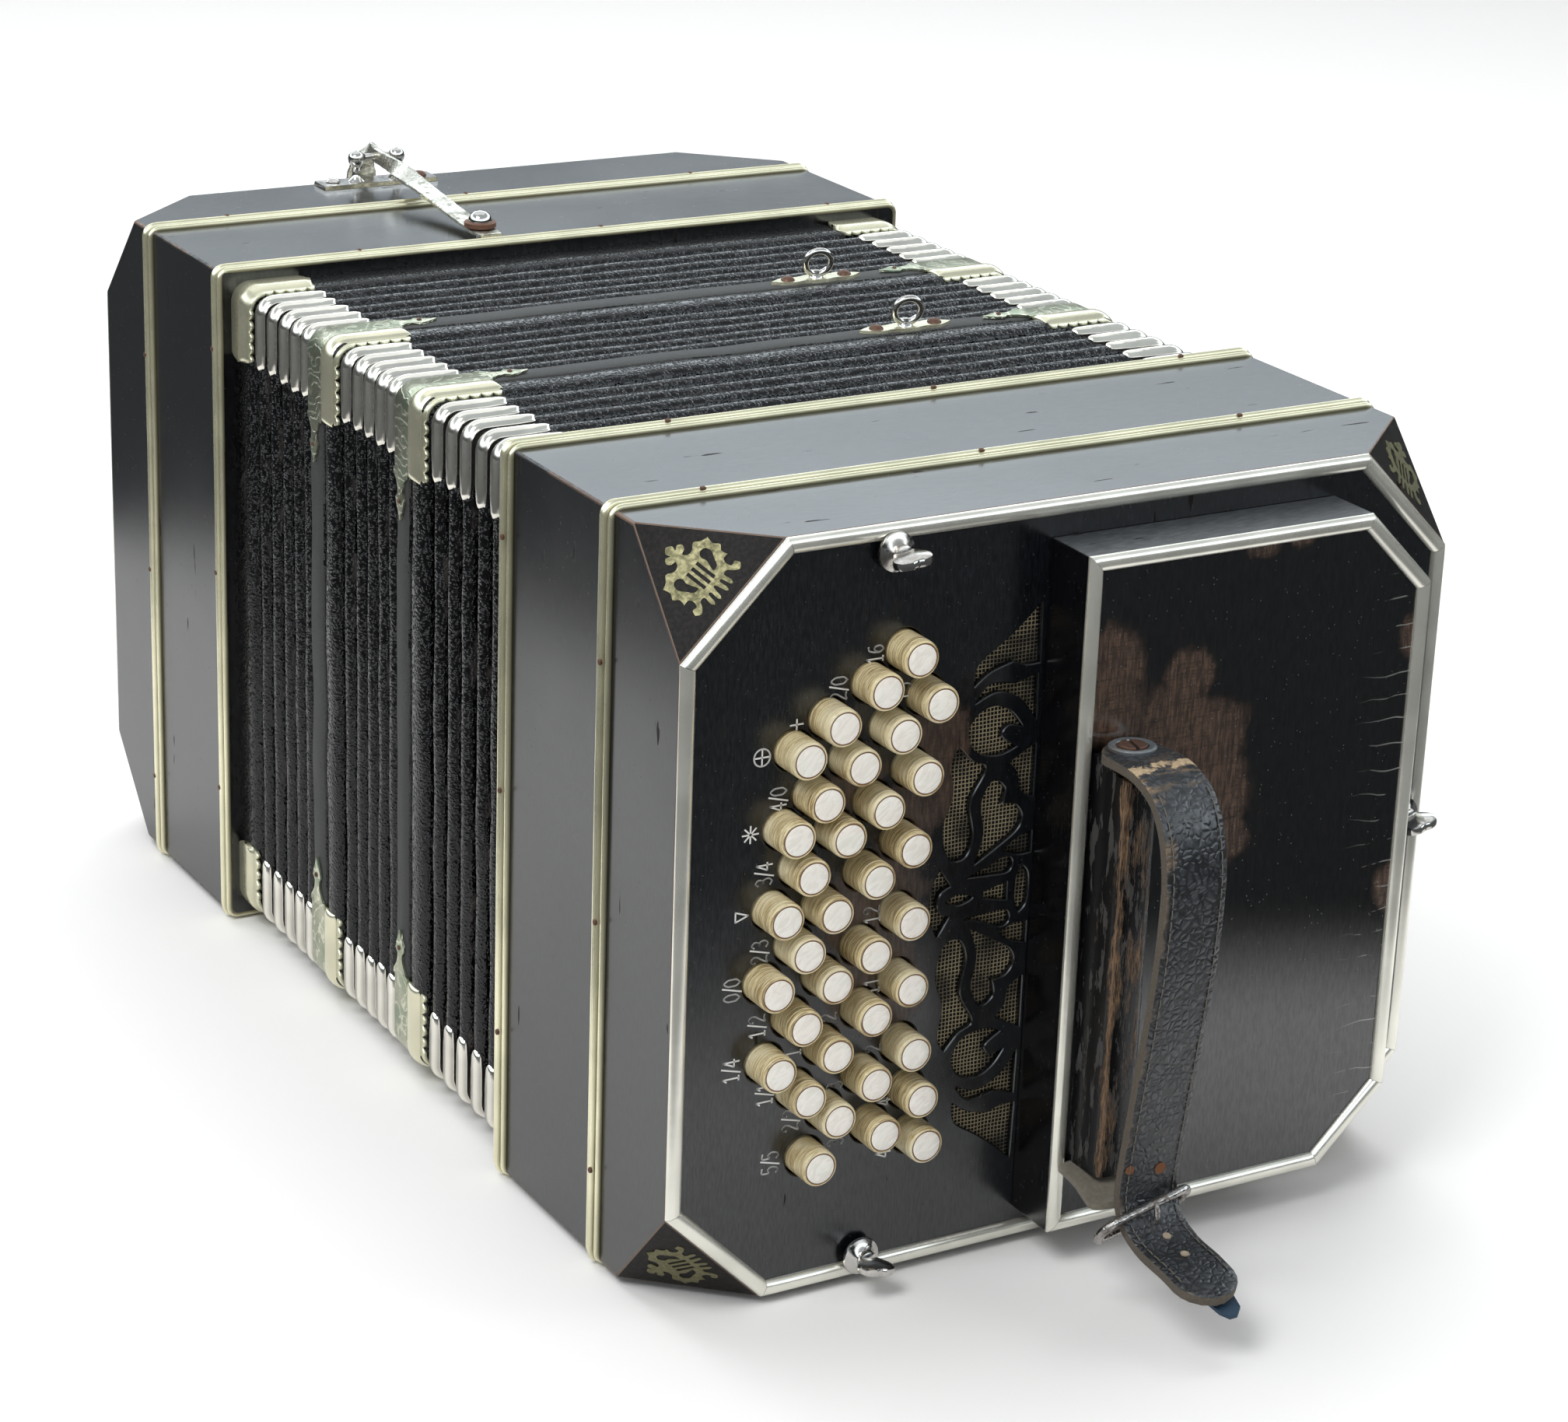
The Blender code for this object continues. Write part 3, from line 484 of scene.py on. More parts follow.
def scratches(look, turn):
    """Sparse straight hairlines at one slant, 1 on a line: stretched cells, cut near their centres."""
    place = look.mapped((1300.0, 1300.0, 28.0), place=look.mapped(turn=turn))
    cells = look.node("TexVoronoi", {"Vector": place, "Scale": 1.0}, feature="F1")
    chosen = look.node("SeparateColor", {0: cells.output("Color")}).fade(0.93, 0.95)
    return cells.fade(0.1, 0.2, 1.0, 0.0) * chosen


def hairline_cracks(look, start, end):
    """Level cracks, 1 on a crack, that set in over a stretch of x."""
    x = look.node("SeparateXYZ", {0: look.place})
    bands = look.node("TexWave", {"Vector": look.place, "Scale": 44.0, "Distortion": 2.2, "Detail": 2.0,
                                  "Detail Scale": 1.4}, "Fac", wave_type="BANDS", bands_direction="Z")
    cracks = bands.fade(0.988, 0.999) * x.fade(start, end) * x.output("Z").fade(0.012, 0.03)
    return cracks * look.grain(90.0).fade(0.47, 0.55)


def lacquer(name, gloss, wear, tint=(0.005, 0.006, 0.008), ior=1.6, spots=(), spot_depth=0.0,
            grain_scales=(6.0, 1.0), scratched=0.5, haze=0.08, dinged=1.0, cracked=None):
    """Black lacquer on wood: fine grain, dents, hairlines, and brown wood where it is worn off.

    spots are (x, z, radius): patches on the bass end that hands have rubbed through. cracked is
    the stretch of x in metres over which level hairline cracks set in. grain_scales are the
    grain's across and along it: it runs upright on the sides, and along x on top.
    """
    look = Surface(name, tint, gloss, IOR=ior)
    normal = look.node("NewGeometry", output="Normal")
    on_top = look.node("SeparateXYZ", {0: normal}, "Z").math("GREATER_THAN", 0.6)
    fine, coarse = grain_scales
    scales = look.node("CombineXYZ", {"X": on_top.fade(0.0, 1.0, fine, coarse), "Y": fine,
                                      "Z": on_top.fade(0.0, 1.0, coarse, fine)})
    along_grain = look.vectors("MULTIPLY", look.place, scales)
    fibre = look.grain(160.0, 5.0, 0.62, along_grain)
    brushed = look.grain(300.0, 3.0, 0.6, along_grain)
    cloud = look.grain(14.0, 4.0, 0.6)
    bare = look.grain(120.0, 6.0, 0.75)
    dents = look.grain(44.0, 2.0, place=along_grain).fade(0.715, 0.745, 0.0, dinged)
    lines = scratches(look, (0.5, 0.35, 0.2)).over(scratches(look, (1.1, -0.9, 0.7))) * scratched
    hatch = (look.grain(130.0, place=look.mapped((14.0, 1.0, 1.0))).fade(0.36, 0.6)
             * look.grain(130.0, place=look.mapped((1.0, 1.0, 14.0))).fade(0.32, 0.56))
    worn = cloud.fade(0.62, 0.78) * bare.fade(0.5, 0.62, 0.0, wear)
    for x, z, size in spots:
        radius = size * MM
        gap = look.vectors("DISTANCE", look.place, on_end(-1, x, spot_depth, z), "Value")
        ragged = gap + (bare - 0.5) * (radius * 1.1) + (cloud - 0.5) * (radius * 1.4)
        spot = ragged.fade(radius * 0.72, radius * 1.16, 1.0, 0.0)
        worn = worn.over(spot * hatch.fade(0.0, 0.7, 0.62, 1.0))
    wood = fibre.fade(0.3, 0.7).mix((0.034, 0.019, 0.012), (0.120, 0.070, 0.044))
    black = brushed.fade(0.35, 0.72).mix(*shades(tint, 0.45, 1.5))
    colour = (worn * 0.92).mix(black, wood)
    colour = (lines * 0.5).mix(colour, (0.16, 0.165, 0.17))
    colour = dents.mix(colour, (0.008, 0.005, 0.004))
    if cracked:
        colour = hairline_cracks(look, *cracked).mix(colour, (0.24, 0.24, 0.23))
    rough = cloud.fade(0.3, 0.7, gloss * 0.85, gloss * 1.2) + (lines + worn * 0.5) * 0.3
    gleam = brushed.fade(0.3, 0.7, 0.44, 0.56) * dents.fade(0.0, 1.0, 1.0, 0.3)
    return look.finish(colour, brushed * 0.12 - (dents + lines * 0.5), 0.04, 0.6,
                       Roughness=rough + dents * 0.4 + brushed * haze, Specular_IOR_Level=gleam)


def worn_ridge(name, bare, share):
    """An edge where the lacquer is rubbed off to reddish wood, here more and there less."""
    look = Surface(name, (0.02, 0.012, 0.010), 0.4)
    patches = look.grain(55.0, 5.0, 0.7)
    fine = look.grain(700.0, 3.0, 0.6)
    worn = (patches + fine * 0.25).fade(0.90 - share, 1.02 - share)
    colour = worn.mix((0.010, 0.009, 0.009), fine.mix(*shades(bare, 0.5, 1.4)))
    return look.finish(colour, patches, 0.08, 0.5, Roughness=fine.fade(0.3, 0.7, 0.3, 0.6))


def metal(name, colour, roughness, tarnish_and_painted_shade, amount, dents, size=60.0, metallic=1.0, pitted=1.0):
    """Old metal: discoloured in patches and in pits, and darker where its vertices carry painted patina or
    painted shade; duller wherever it is darkened, slightly dented.
    """
    look = Surface(name, colour, roughness, metallic)
    patches = look.grain(size, 1.0 + 4.0 * pitted, 0.65)
    fine = look.grain(840.0, 3.0, 0.6)
    pits = look.grain(588.0, 4.0, 0.7).fade(0.67, 0.80)
    stain_and_painted_shade = (patches + fine * (0.35 * pitted)).fade(0.60, 0.90).over(pits * pitted) * amount
    stain_and_painted_shade = stain_and_painted_shade.over(look.painted("tarnish_and_painted_shade") * fine.fade(0.3, 0.7, 1 - 0.2 * pitted, 1.0))
    shade = patches.fade(0.3, 0.7).mix(*shades(colour, 0.84, 1.0))
    rough = fine.fade(0.3, 0.7, roughness * (1 - 0.2 * pitted), roughness * (1 + 0.3 * pitted))
    return look.finish(stain_and_painted_shade.mix(shade, tarnish_and_painted_shade), look.grain(size * 3.5, 1.0) + fine * (0.12 * pitted),
                       dents, 0.7, Roughness=rough + stain_and_painted_shade * 0.3)


def engraved_metal():
    """Greenish nickel silver: pale engraved scrolls on a ground darkened by verdigris."""
    look = Surface("engraved_nickel", (0.50, 0.50, 0.36), 0.34, 1.0)
    flow = look.node("TexWave", {"Vector": look.place, "Scale": 62.0, "Distortion": 7.0, "Detail": 2.0,
                                 "Detail Scale": 2.2, "Detail Roughness": 0.5}, "Fac",
                     wave_type="RINGS", rings_direction="SPHERICAL")
    line = (flow - 0.5).math("ABSOLUTE").fade(0.05, 0.26, 1.0, 0.0)
    patches = look.grain(90.0, 5.0, 0.65)
    stipple = look.grain(1500.0, 2.0).fade(0.45, 0.6)
    ground = patches.fade(0.38, 0.66).mix((0.50, 0.50, 0.37), (0.30, 0.36, 0.25))
    ground = (stipple * 0.35).mix(ground, (0.17, 0.19, 0.13))
    return look.finish((line * 0.8).mix(ground, (0.76, 0.75, 0.60)), stipple * -0.25 + line, 0.10, 0.8,
                       Roughness=patches.fade(0.3, 0.8, 0.28, 0.46))


def rust():
    look = Surface("rusty_steel", (0.20, 0.09, 0.05), 0.6, 0.6)
    patches = look.grain(900.0, 4.0, 0.6)
    return look.finish(patches.mix((0.055, 0.032, 0.024), (0.20, 0.105, 0.070)), patches, 0.1, 0.6,
                       Roughness=patches.fade(0.3, 0.7, 0.35, 0.75))


def leather(name, base, sparkle, worn, wear_low, grain_size=1000.0, specular=0.42, depth=0.20, fuzz=0.1,
            domed=True):
    """Grained leather: dark between its grains, glinting on their tops, rubbed brown on its ridges."""
    look = Surface(name, base, 0.42, Specular_IOR_Level=specular)
    warped = look.warped(160.0, 0.004)
    cells = look.node("TexVoronoi", {"Vector": warped, "Scale": grain_size, "Randomness": 0.85}, "Distance",
                      feature="F1" if domed else "DISTANCE_TO_EDGE")
    tops = cells.fade(0.0, 0.62, 1.0, 0.0) if domed else cells.fade(0.0, 0.34)
    tone = look.grain(grain_size * 0.6, 1.0, place=warped)
    fine = look.grain(grain_size * 1.7, 3.0, 0.6)
    patches = look.grain(70.0, 5.0, 0.62, look.mapped((1.0, 3.0, 1.0)))
    rub = look.painted("wear") * patches.fade(wear_low, wear_low + 0.14)
    ragged = fine * 0.45 + look.grain(330.0, 4.0) * 0.9
    fray = (look.painted("fray") + ragged).fade(1.50, 1.66)
    suede = fine.mix((0.20, 0.13, 0.065), (0.66, 0.52, 0.34))
    colour = rub.mix(tops.mix(*shades(base, 0.2, 1.0)), worn)
    rough = tone.fade(0.2, 0.9, sparkle, sparkle + 0.22) + rub * 0.3
    return look.finish(fray.mix(colour, suede), tops + fine * fuzz + fray, depth, 1.0,
                       Roughness=rough + fray * 0.6)


def matt_band():
    """The flat bands of the bellows frames: fine-grained leather cloth, grey with dust and wear."""
    look = Surface("grey_band_leather", (0.05, 0.052, 0.05), 0.6, Specular_IOR_Level=0.35)
    fine = look.grain(2300.0, 3.0, 0.75)
    threads = look.grain(700.0, 3.0, 0.6, look.mapped((1.0, 5.0, 1.0)))
    patches = look.grain(40.0, 4.0, 0.6, look.mapped((1.0, 4.0, 1.0)))
    colour = fine.fade(0.35, 0.65).mix((0.008, 0.008, 0.008), (0.062, 0.064, 0.062))
    colour = patches.fade(0.45, 0.7, 0.0, 0.6).mix(colour, (0.028, 0.028, 0.027))
    return look.finish(colour, fine + threads * 0.6, 0.16, 0.8, Roughness=fine.fade(0.3, 0.7, 0.45, 0.7))


def bone():
    """Turned bone or galalith: fine brown lines round the barrel on a warm cream ground."""
    look = Surface("aged_bone", (0.72, 0.60, 0.38), 0.30, Subsurface_Weight=0.12, Subsurface_Scale=0.002,
                   Subsurface_Radius=(1.0, 0.7, 0.4), Coat_Weight=0.3, Coat_Roughness=0.15)
    rings = look.grain(2500.0, 4.0, 0.75, look.mapped((0.05, 1.0, 0.05)))
    colour = rings.fade(0.38, 0.56).mix((0.30, 0.20, 0.08), (0.78, 0.67, 0.40))
    colour = look.grain(60.0, 2.0).fade(0.46, 0.62, 0.0, 0.65).mix(colour, (0.84, 0.76, 0.53))
    colour = look.grain(420.0, 5.0, 0.7).fade(0.52, 0.66, 0.0, 0.4).mix(colour, (0.50, 0.40, 0.18))
    return look.finish(colour, rings, 0.08, 0.6)


def pearl():
    """Mother-of-pearl: pale streaks under a clear gloss, with faint pink and green clouds."""
    look = Surface("mother_of_pearl", (0.88, 0.86, 0.82), 0.25, Coat_Weight=0.8, Coat_Roughness=0.06)
    slanted = look.mapped((1.0, 0.5, 2.6), place=look.mapped(turn=(0.0, 0.7, 0.0)))
    streaks = look.grain(150.0, 3.0, 0.5, slanted, distortion=2.0)
    clouds = look.grain(130.0, 3.0, 0.6, distortion=1.6)
    tints = look.grain(75.0, 1.0, 0.5, distortion=0.6)
    colour = streaks.fade(0.36, 0.62).mix((0.86, 0.82, 0.74), (0.98, 0.95, 0.88))
    tint = tints.fade(0.45, 0.56).mix((0.94, 0.82, 0.80), (0.84, 0.92, 0.87))
    colour = clouds.fade(0.35, 0.65, 0.05, 0.45).mix(colour, tint, "MULTIPLY")
    milky = look.node("Mix", {0: 0.5, 6: (0.97, 0.94, 0.86), 7: colour}, 2, data_type="RGBA")
    return look.finish(milky, clouds, 0.06, 0.3, Roughness=streaks.fade(0.3, 0.7, 0.18, 0.4))


def gauze():
    """An open weave of tan thread; the near-black between the threads is painted shade for the unlit inside.
    """
    look = Surface("tan_gauze", (0.20, 0.15, 0.09), 0.85, Specular_IOR_Level=0.2)
    wavy = look.warped(90.0, 0.0011)
    warp, weft = (look.node("TexWave", {"Vector": wavy, "Scale": 275.0}, "Fac", bands_direction=axis)
                  for axis in ("X", "Z"))
    weave = warp.over(weft)
    fuzz = look.grain(1600.0)
    thread = fuzz.mix((0.16, 0.13, 0.08), (0.54, 0.46, 0.30))
    thread = look.grain(55.0).fade(0.35, 0.6).mix((0.070, 0.064, 0.050), thread)
    # Between the threads: near-black painted shade for the inside seen through the weave.
    colour = weave.fade(0.74, 0.92).mix((0.004, 0.003, 0.002), thread)
    return look.finish(colour, weave + fuzz * 0.2, 0.4, 1.0)


def painted_rail():
    """Black paint with dull grey flecks, rubbed through to bare wood in long streaks."""
    look = Surface("worn_rail_paint", (0.03, 0.02, 0.015), 0.4, Specular_IOR_Level=0.4)
    streak = look.grain(60.0, 6.0, 0.7, look.mapped((7.0, 7.0, 1.0)))
    fibre = look.grain(260.0, 4.0, 0.72, look.mapped((12.0, 12.0, 1.0)))
    flecks = look.grain(95.0, 4.0, 0.6, look.mapped((4.5, 4.5, 1.0))).fade(0.56, 0.60)
    worn = look.painted("wear")
    rub = (streak + worn * 0.36).fade(0.66, 0.82)
    wood = fibre.fade(0.40, 0.64).mix((0.014, 0.008, 0.005), (0.25, 0.150, 0.075))
    paint = flecks.mix((0.005, 0.005, 0.006), (0.050, 0.048, 0.046))
    colour = worn.fade(0.86, 1.0, 0.0, 0.5).mix(rub.mix(paint, wood), (0.24, 0.15, 0.095))
    return look.finish(colour, fibre * 0.4 - (rub + flecks), 0.15, 0.6,
                       Roughness=rub.fade(0.0, 1.0, 0.24, 0.5) + flecks * 0.25)


def plain(name, colour, roughness, scale=400.0, change=0.25, **sockets):
    """A plain surface with a little life in its colour and its roughness."""
    look = Surface(name, colour, roughness, **sockets)
    spots = look.grain(scale, 4.0, 0.6)
    return look.finish(spots.mix(*shades(colour, 1 - change, 1 + change)), spots, 0.1, 0.4,
                       Roughness=spots.fade(0.3, 0.7, roughness * 0.85, min(roughness * 1.15, 1.0)))


# Where hands have rubbed through the lacquer of the bass end: (x, z, radius)
PLATE_SPOTS = ((-45, 45, 10), (-49, 28, 10), (-62, 2, 17), (-60, -22, 15), (-70, 40, 10))
BOX_SPOTS = ((-2, 66, 12), (1, 52, 10), (20, 48, 12), (31, 38, 14), (37, 23, 13), (39, 10, 9), (24, 60, 9),
             (45, 95, 7), (58, 96, 6), (102, -15, 7), (100, 60, 6))

M = {
    "case": lacquer("black_case_lacquer", 0.18, 0.4, (0.004, 0.004, 0.005), 1.66, haze=0.05),
    "facet": lacquer("worn_facet_wood", 0.40, 0.8, (0.008, 0.006, 0.005), 1.22, grain_scales=(3.0, 3.0)),
    "ridge": worn_ridge("worn_case_ridges", (0.075, 0.046, 0.032), 0.36),
    "facet_ridge": worn_ridge("worn_facet_ridges", (0.13, 0.080, 0.052), 0.50),
    "plate": lacquer("black_plate_lacquer", 0.20, 0.0, ior=1.72, spots=PLATE_SPOTS),
    "box": lacquer("black_box_lacquer", 0.07, 0.0, (0.002, 0.002, 0.002), 1.88, BOX_SPOTS, -BOX_HEIGHT,
                   scratched=1.0, haze=0.02, dinged=0.2, cracked=(0.080, 0.104)),
    "box_side": lacquer("black_box_side_lacquer", 0.20, 0.3, (0.003, 0.003, 0.004), 1.5),
    # Paler on the box's top faces than on its sides: partly dust, partly a painted sheen for the light the
    # top catches.
    "box_top": lacquer("dusty_box_top_painted_sheen", 0.42, 0.3, (0.030, 0.034, 0.038), 1.8),
    "rail": painted_rail(),
    "moulding": metal("yellowed_nickel_moulding", (0.90, 0.86, 0.62), 0.24, (0.16, 0.14, 0.075), 0.16,
                      0.05, metallic=0.80, pitted=0.0),
    "edging": metal("grey_nickel_edging", (0.90, 0.885, 0.79), 0.25, (0.36, 0.34, 0.27), 0.10, 0.05,
                    metallic=0.74, pitted=0.0),
    # The caps' dark brown serves twice: patina in patches, and a painted dark reflection along the legs where
    # the caps' vertices carry it.
    "caps": metal("bright_nickel_caps", (0.84, 0.81, 0.73), 0.13, (0.050, 0.036, 0.028), 0.2, 0.2, 70.0,
                  metallic=0.92, pitted=0.15),
    "corner": metal("yellow_nickel_corners", (0.78, 0.75, 0.56), 0.25, (0.26, 0.27, 0.17), 0.3, 0.12,
                    metallic=0.82, pitted=0.1),
    "engraved": engraved_metal(),
    "blade": metal("engraved_blade", (0.70, 0.68, 0.60), 0.26, (0.2, 0.19, 0.14), 0.9, 0.2, 260.0),
    "inlay": metal("brass_inlay", (0.20, 0.185, 0.105), 0.48, (0.16, 0.15, 0.08), 0.6, 0.06, 120.0),
    "bright": metal("polished_nickel", (0.66, 0.64, 0.61), 0.12, (0.20, 0.15, 0.11), 0.5, 0.08),
    "wire": metal("aged_buckle_wire", (0.42, 0.40, 0.38), 0.22, (0.14, 0.11, 0.09), 0.9, 0.3, 240.0),
    "steel": metal("dull_blue_steel", (0.34, 0.40, 0.43), 0.42, (0.20, 0.11, 0.07), 0.7, 0.15, 180.0),
    "rust": rust(),
    "fold": leather("black_fold_leather", (0.003, 0.003, 0.004), 0.12, (0.055, 0.045, 0.042), 0.52),
    "roll": leather("black_roll_leather", (0.003, 0.003, 0.004), 0.12, (0.040, 0.036, 0.034), 0.60),
    "valley": plain("black_valley_cloth", (0.004, 0.004, 0.004), 0.9, Specular_IOR_Level=0.1),
    "band": matt_band(),
    "strap": leather("black_strap_leather", (0.026, 0.029, 0.035), 0.30, (0.26, 0.17, 0.09), 0.50, 460.0,
                     0.75, 0.16, 0.05, domed=False),
    "strap_edge": plain("brown_suede_edge", (0.095, 0.080, 0.062), 0.9, 1500.0, 0.9),
    "blue_scrap": plain("dark_blue_scrap", (0.012, 0.035, 0.065), 0.6, 900.0, 0.4),
    "suede": plain("grey_suede", (0.15, 0.135, 0.105), 0.95, 700.0, 0.6, Sheen_Weight=0.3),
    "hole": plain("rusty_hole", (0.16, 0.06, 0.02), 0.8, 900.0, 0.5),
    "pale_hole": plain("pale_hole", (0.34, 0.28, 0.21), 0.8, 900.0, 0.4),
    # Near-black: painted shade at the bottom of the screw slot; the block under the strap takes it too.
    "dark": plain("dark_slot", (0.010, 0.008, 0.007), 0.8),
    "thread": plain("grey_thread", (0.13, 0.12, 0.10), 0.85, 1500.0, 0.4),
    "bone": bone(),
    "pearl": pearl(),
    "pearl_ring": plain("brown_pearl_ring", (0.16, 0.075, 0.03), 0.5),
    "gauze": gauze(),
    "wood": plain("bare_spruce", (0.50, 0.34, 0.19), 0.7, 150.0, 0.2),
    "mark": plain("white_paint", (0.78, 0.78, 0.76), 0.6, 1200.0, 0.12),
    "washer": plain("brown_leather_washer", (0.13, 0.060, 0.035), 0.6, 900.0, 0.6),
}


# Cases, mouldings and inlays

def end_ring(side, outline, depth):
    return [on_end(side, p[0], depth, p[1]) for p in outline]


def wooden_case(side, name, front, back):
    """A case's wooden walls between two depths. The bevel leaves its edges slightly round."""
    rings = []
    for depth in (front, FACET_DEPTH, back):
        if front <= depth <= back:
            cut = max(FACET_CUT * (1 - depth / FACET_DEPTH), EDGE_BREAK)
            rings.append(end_ring(side, cut_rectangle(HALF_WIDTH, HALF_HEIGHT, cut), depth))
    inner = cut_rectangle(HALF_WIDTH - WALL, HALF_HEIGHT - WALL, FACET_CUT)
    mesh = shell(rings + [end_ring(side, inner, back), end_ring(side, inner, front)], closed=True)
    bmesh.ops.recalc_face_normals(mesh, faces=mesh.faces)
    for face in mesh.faces:
        if min(abs(part) for part in face.normal) > 0.3:
            face.material_index = 1
    made = end_piece(side, name + "_walls", mesh, "case facet ridge facet_ridge", "black_wood",
                     name + "_case", bevel=0.8)
    made.modifiers["bevel"].material = 3 if front < 1.0 else 2


# A moulding's three half-round beads: (start and end as shares of the width, height)
MOULDING_BEADS = ((0.0, 0.26, 0.66), (0.36, 0.66, 1.0), (0.76, 1.0, 0.66))
GROOVE = 0.02
GROOVE_STAIN = (0.95, 0.4, 0.0, 0.0, 0.0, 0.35, 0.95)


def moulding(side, name, start):
    profile = [(0.0, -0.1, 1.0)]
    for low, high, height in MOULDING_BEADS:
        for k, stain_and_painted_shade in enumerate(GROOVE_STAIN):
            angle = math.pi * k / 6
            share = low + (high - low) * (1 - math.cos(angle)) / 2
            profile.append((share, GROOVE + (height - GROOVE) * math.sin(angle) ** 0.8, stain_and_painted_shade))
    profile.append((1.0, -0.1, 1.0))
    rings = []
    for share, rise, _ in profile:
        proud = rise * MOULDING_PROUD
        ring = []
        for x, z in rounded_rectangle(HALF_WIDTH + proud, HALF_HEIGHT + proud, 2.6 + proud, 20, 18):
            sway = 0.12 * noise.noise(Vector((x * 0.06, z * 0.06, start)))
            ring.append(on_end(side, x, start + share * MOULDING_WIDTH + sway, z))
        rings.append(ring)
    made = end_piece(side, name, shell(rings, closed=True), "moulding", "nickel", smooth=50)
    paint_points(made, "tarnish_and_painted_shade", [stain_and_painted_shade for _, _, stain_and_painted_shade in profile for corner in rings[0]])


NAIL_RADIUS = 0.85
NAIL_PITCH = 86.0


def moulding_nails(side):
    """Rusty nail heads on the crests of both mouldings."""
    mesh = bmesh.new()
    profile = [(-0.5, NAIL_RADIUS), (0.1, NAIL_RADIUS), (0.32, 0.6 * NAIL_RADIUS), (0.4, 0.15 * NAIL_RADIUS)]
    for start, shift in ((ACTION_DEPTH, -9.0), (REED_DEPTH - MOULDING_WIDTH, 12.0)):
        depth = start + 0.42 * MOULDING_WIDTH
        for k in (-1, 0, 1):
            x, z = k * NAIL_PITCH + shift, k * 0.86 * NAIL_PITCH + 0.8 * shift
            for sign in (-1, 1):
                above = on_end(side, x, depth, sign * (HALF_HEIGHT + MOULDING_PROUD))
                beside = on_end(side, sign * (HALF_WIDTH + MOULDING_PROUD), depth, z)
                turned(mesh, above, (0, 0, sign), profile, 10)
                turned(mesh, beside, (sign, 0, 0), profile, 10)
    end_piece(side, "moulding_nails", mesh, "rust", "nickel")


# One half of the lyre in the facets' corners, up the right side from the strings' ends to the knob
LYRE_HALF = [(0.35, -5.6), (0.9, -8.2), (1.5, -9.0), (1.9, -8.0), (1.75, -5.8), (2.6, -5.7), (3.0, -8.0),
             (3.6, -8.7), (4.1, -7.6), (3.8, -5.4), (5.2, -5.2), (6.2, -6.6), (7.6, -7.6), (8.9, -6.6),
             (8.3, -5.2), (7.0, -5.4), (6.4, -4.0), (7.0, -2.6), (8.6, -2.6), (8.2, -0.8), (9.4, 0.6),
             (8.4, 2.2), (8.8, 4.4), (7.0, 5.0), (5.4, 6.4), (3.6, 5.2), (2.0, 5.4), (1.3, 6.6),
             (2.6, 7.0), (3.2, 8.2), (2.2, 9.2), (1.0, 8.6), (1.3, 10.0), (0.0, 11.0)]
LYRE_SHARP = (2, 7, 13, 18, 22)
LYRE_DROP = [(3.0, -2.6), (4.6, -2.4), (5.6, -0.6), (6.6, 1.2), (6.2, 3.0), (4.6, 3.4), (3.6, 2.2),
             (3.9, 0.6), (3.4, -1.0)]
LYRE_SLOTS = ((-0.5, 0.5), (1.35, 2.3))
LYRE_SLOT_ENDS = (-3.9, 2.2)
LYRE_RISE = 11.8
INLAY_RISE = 0.12


def inlays(side):
    """A lyre of thin brass let into each facet, its foot towards the plate."""
    last = 2 * len(LYRE_HALF) - 2
    outline = spline(LYRE_HALF + mirrored(LYRE_HALF[-2::-1]), 3, True,
                     LYRE_SHARP + tuple(last - i for i in LYRE_SHARP))
    drop = spline(LYRE_DROP, 3, True)
    low, high = LYRE_SLOT_ENDS
    slots = [[(a, low), (b, low), (b, high), (a, high)] for a, b in LYRE_SLOTS]
    holes = [drop, mirrored(drop), *slots, mirrored(slots[1])]
    mesh = bmesh.new()
    for sx, sz in CORNERS:
        first = on_end(side, sx * (HALF_WIDTH - FACET_CUT), 0, sz * HALF_HEIGHT)
        second = on_end(side, sx * HALF_WIDTH, 0, sz * (HALF_HEIGHT - FACET_CUT))
        across = (second - first).normalized()
        foot = (first + second) / 2
        up = on_end(side, sx * HALF_WIDTH, FACET_DEPTH, sz * HALF_HEIGHT) - foot
        up = (up - across * up.dot(across)).normalized()
        normal = across.cross(up).normalized()
        if normal.dot(Vector((sx, side, sz))) < 0:
            normal = -normal

        def surface(rise):
            return lambda x, y: foot + (across * x + up * (LYRE_RISE + y) + normal * rise) * MM

        slab(mesh, outline, holes, surface(-0.2), surface(INLAY_RISE))
    end_piece(side, "lyre_inlays", mesh, "inlay", "nickel", smooth=30)


# End plates

FRET_MIDDLE = -2.0
# Openings of the fretwork, as (points, numbers of the sharp ones): the upper half's and the middle's
FRET_HALF = [
    ([(-13, 80), (-19, 74.5), (-25, 70), (-32, 65), (-33, 59), (-28, 62.5), (-21, 64.5),
      (-17, 63), (-12.5, 63)], (0, 4, 6, 8)),
    ([(-12.7, 46.7), (-18, 53.5), (-25.5, 56.5), (-32.5, 54), (-28, 59), (-20, 58), (-13, 60)],
     (0, 3, 5, 6)),
    ([(-34, 46), (-31, 51), (-25.5, 52.5), (-20.5, 50), (-17, 45.5), (-21.5, 46.5), (-23.5, 43.5),
      (-18.5, 40), (-24, 38.3), (-31, 40)], (4, 7)),
    ([(-36.5, 42.5), (-39, 38), (-37.8, 29), (-40.5, 20), (-38.5, 11), (-33.5, 10), (-31, 16),
      (-32.5, 26), (-28, 35), (-32.5, 38)], (0,)),
    ([(-12.3, 40), (-20.5, 35.5), (-17.5, 32), (-16.5, 27), (-12.3, 24.5)], (0, 1, 4)),
    ([(-30, 7.5), (-27.5, 16), (-28.8, 25), (-25.5, 31), (-21.5, 28.5), (-22.3, 23.8),
      (-18, 23.2), (-15.5, 19.5), (-17, 15.5), (-23, 11.5)], (0, 5)),
    ([(-12, 14.5), (-17, 13), (-21, 10), (-16, 8.2), (-12, 8.2)], (0, 2, 4)),
    ([(-32.5, 4), (-26.5, 5.8), (-20.5, 8.3), (-17.8, 6.8), (-19, 3.6), (-25, 3.6)], (0,)),
]
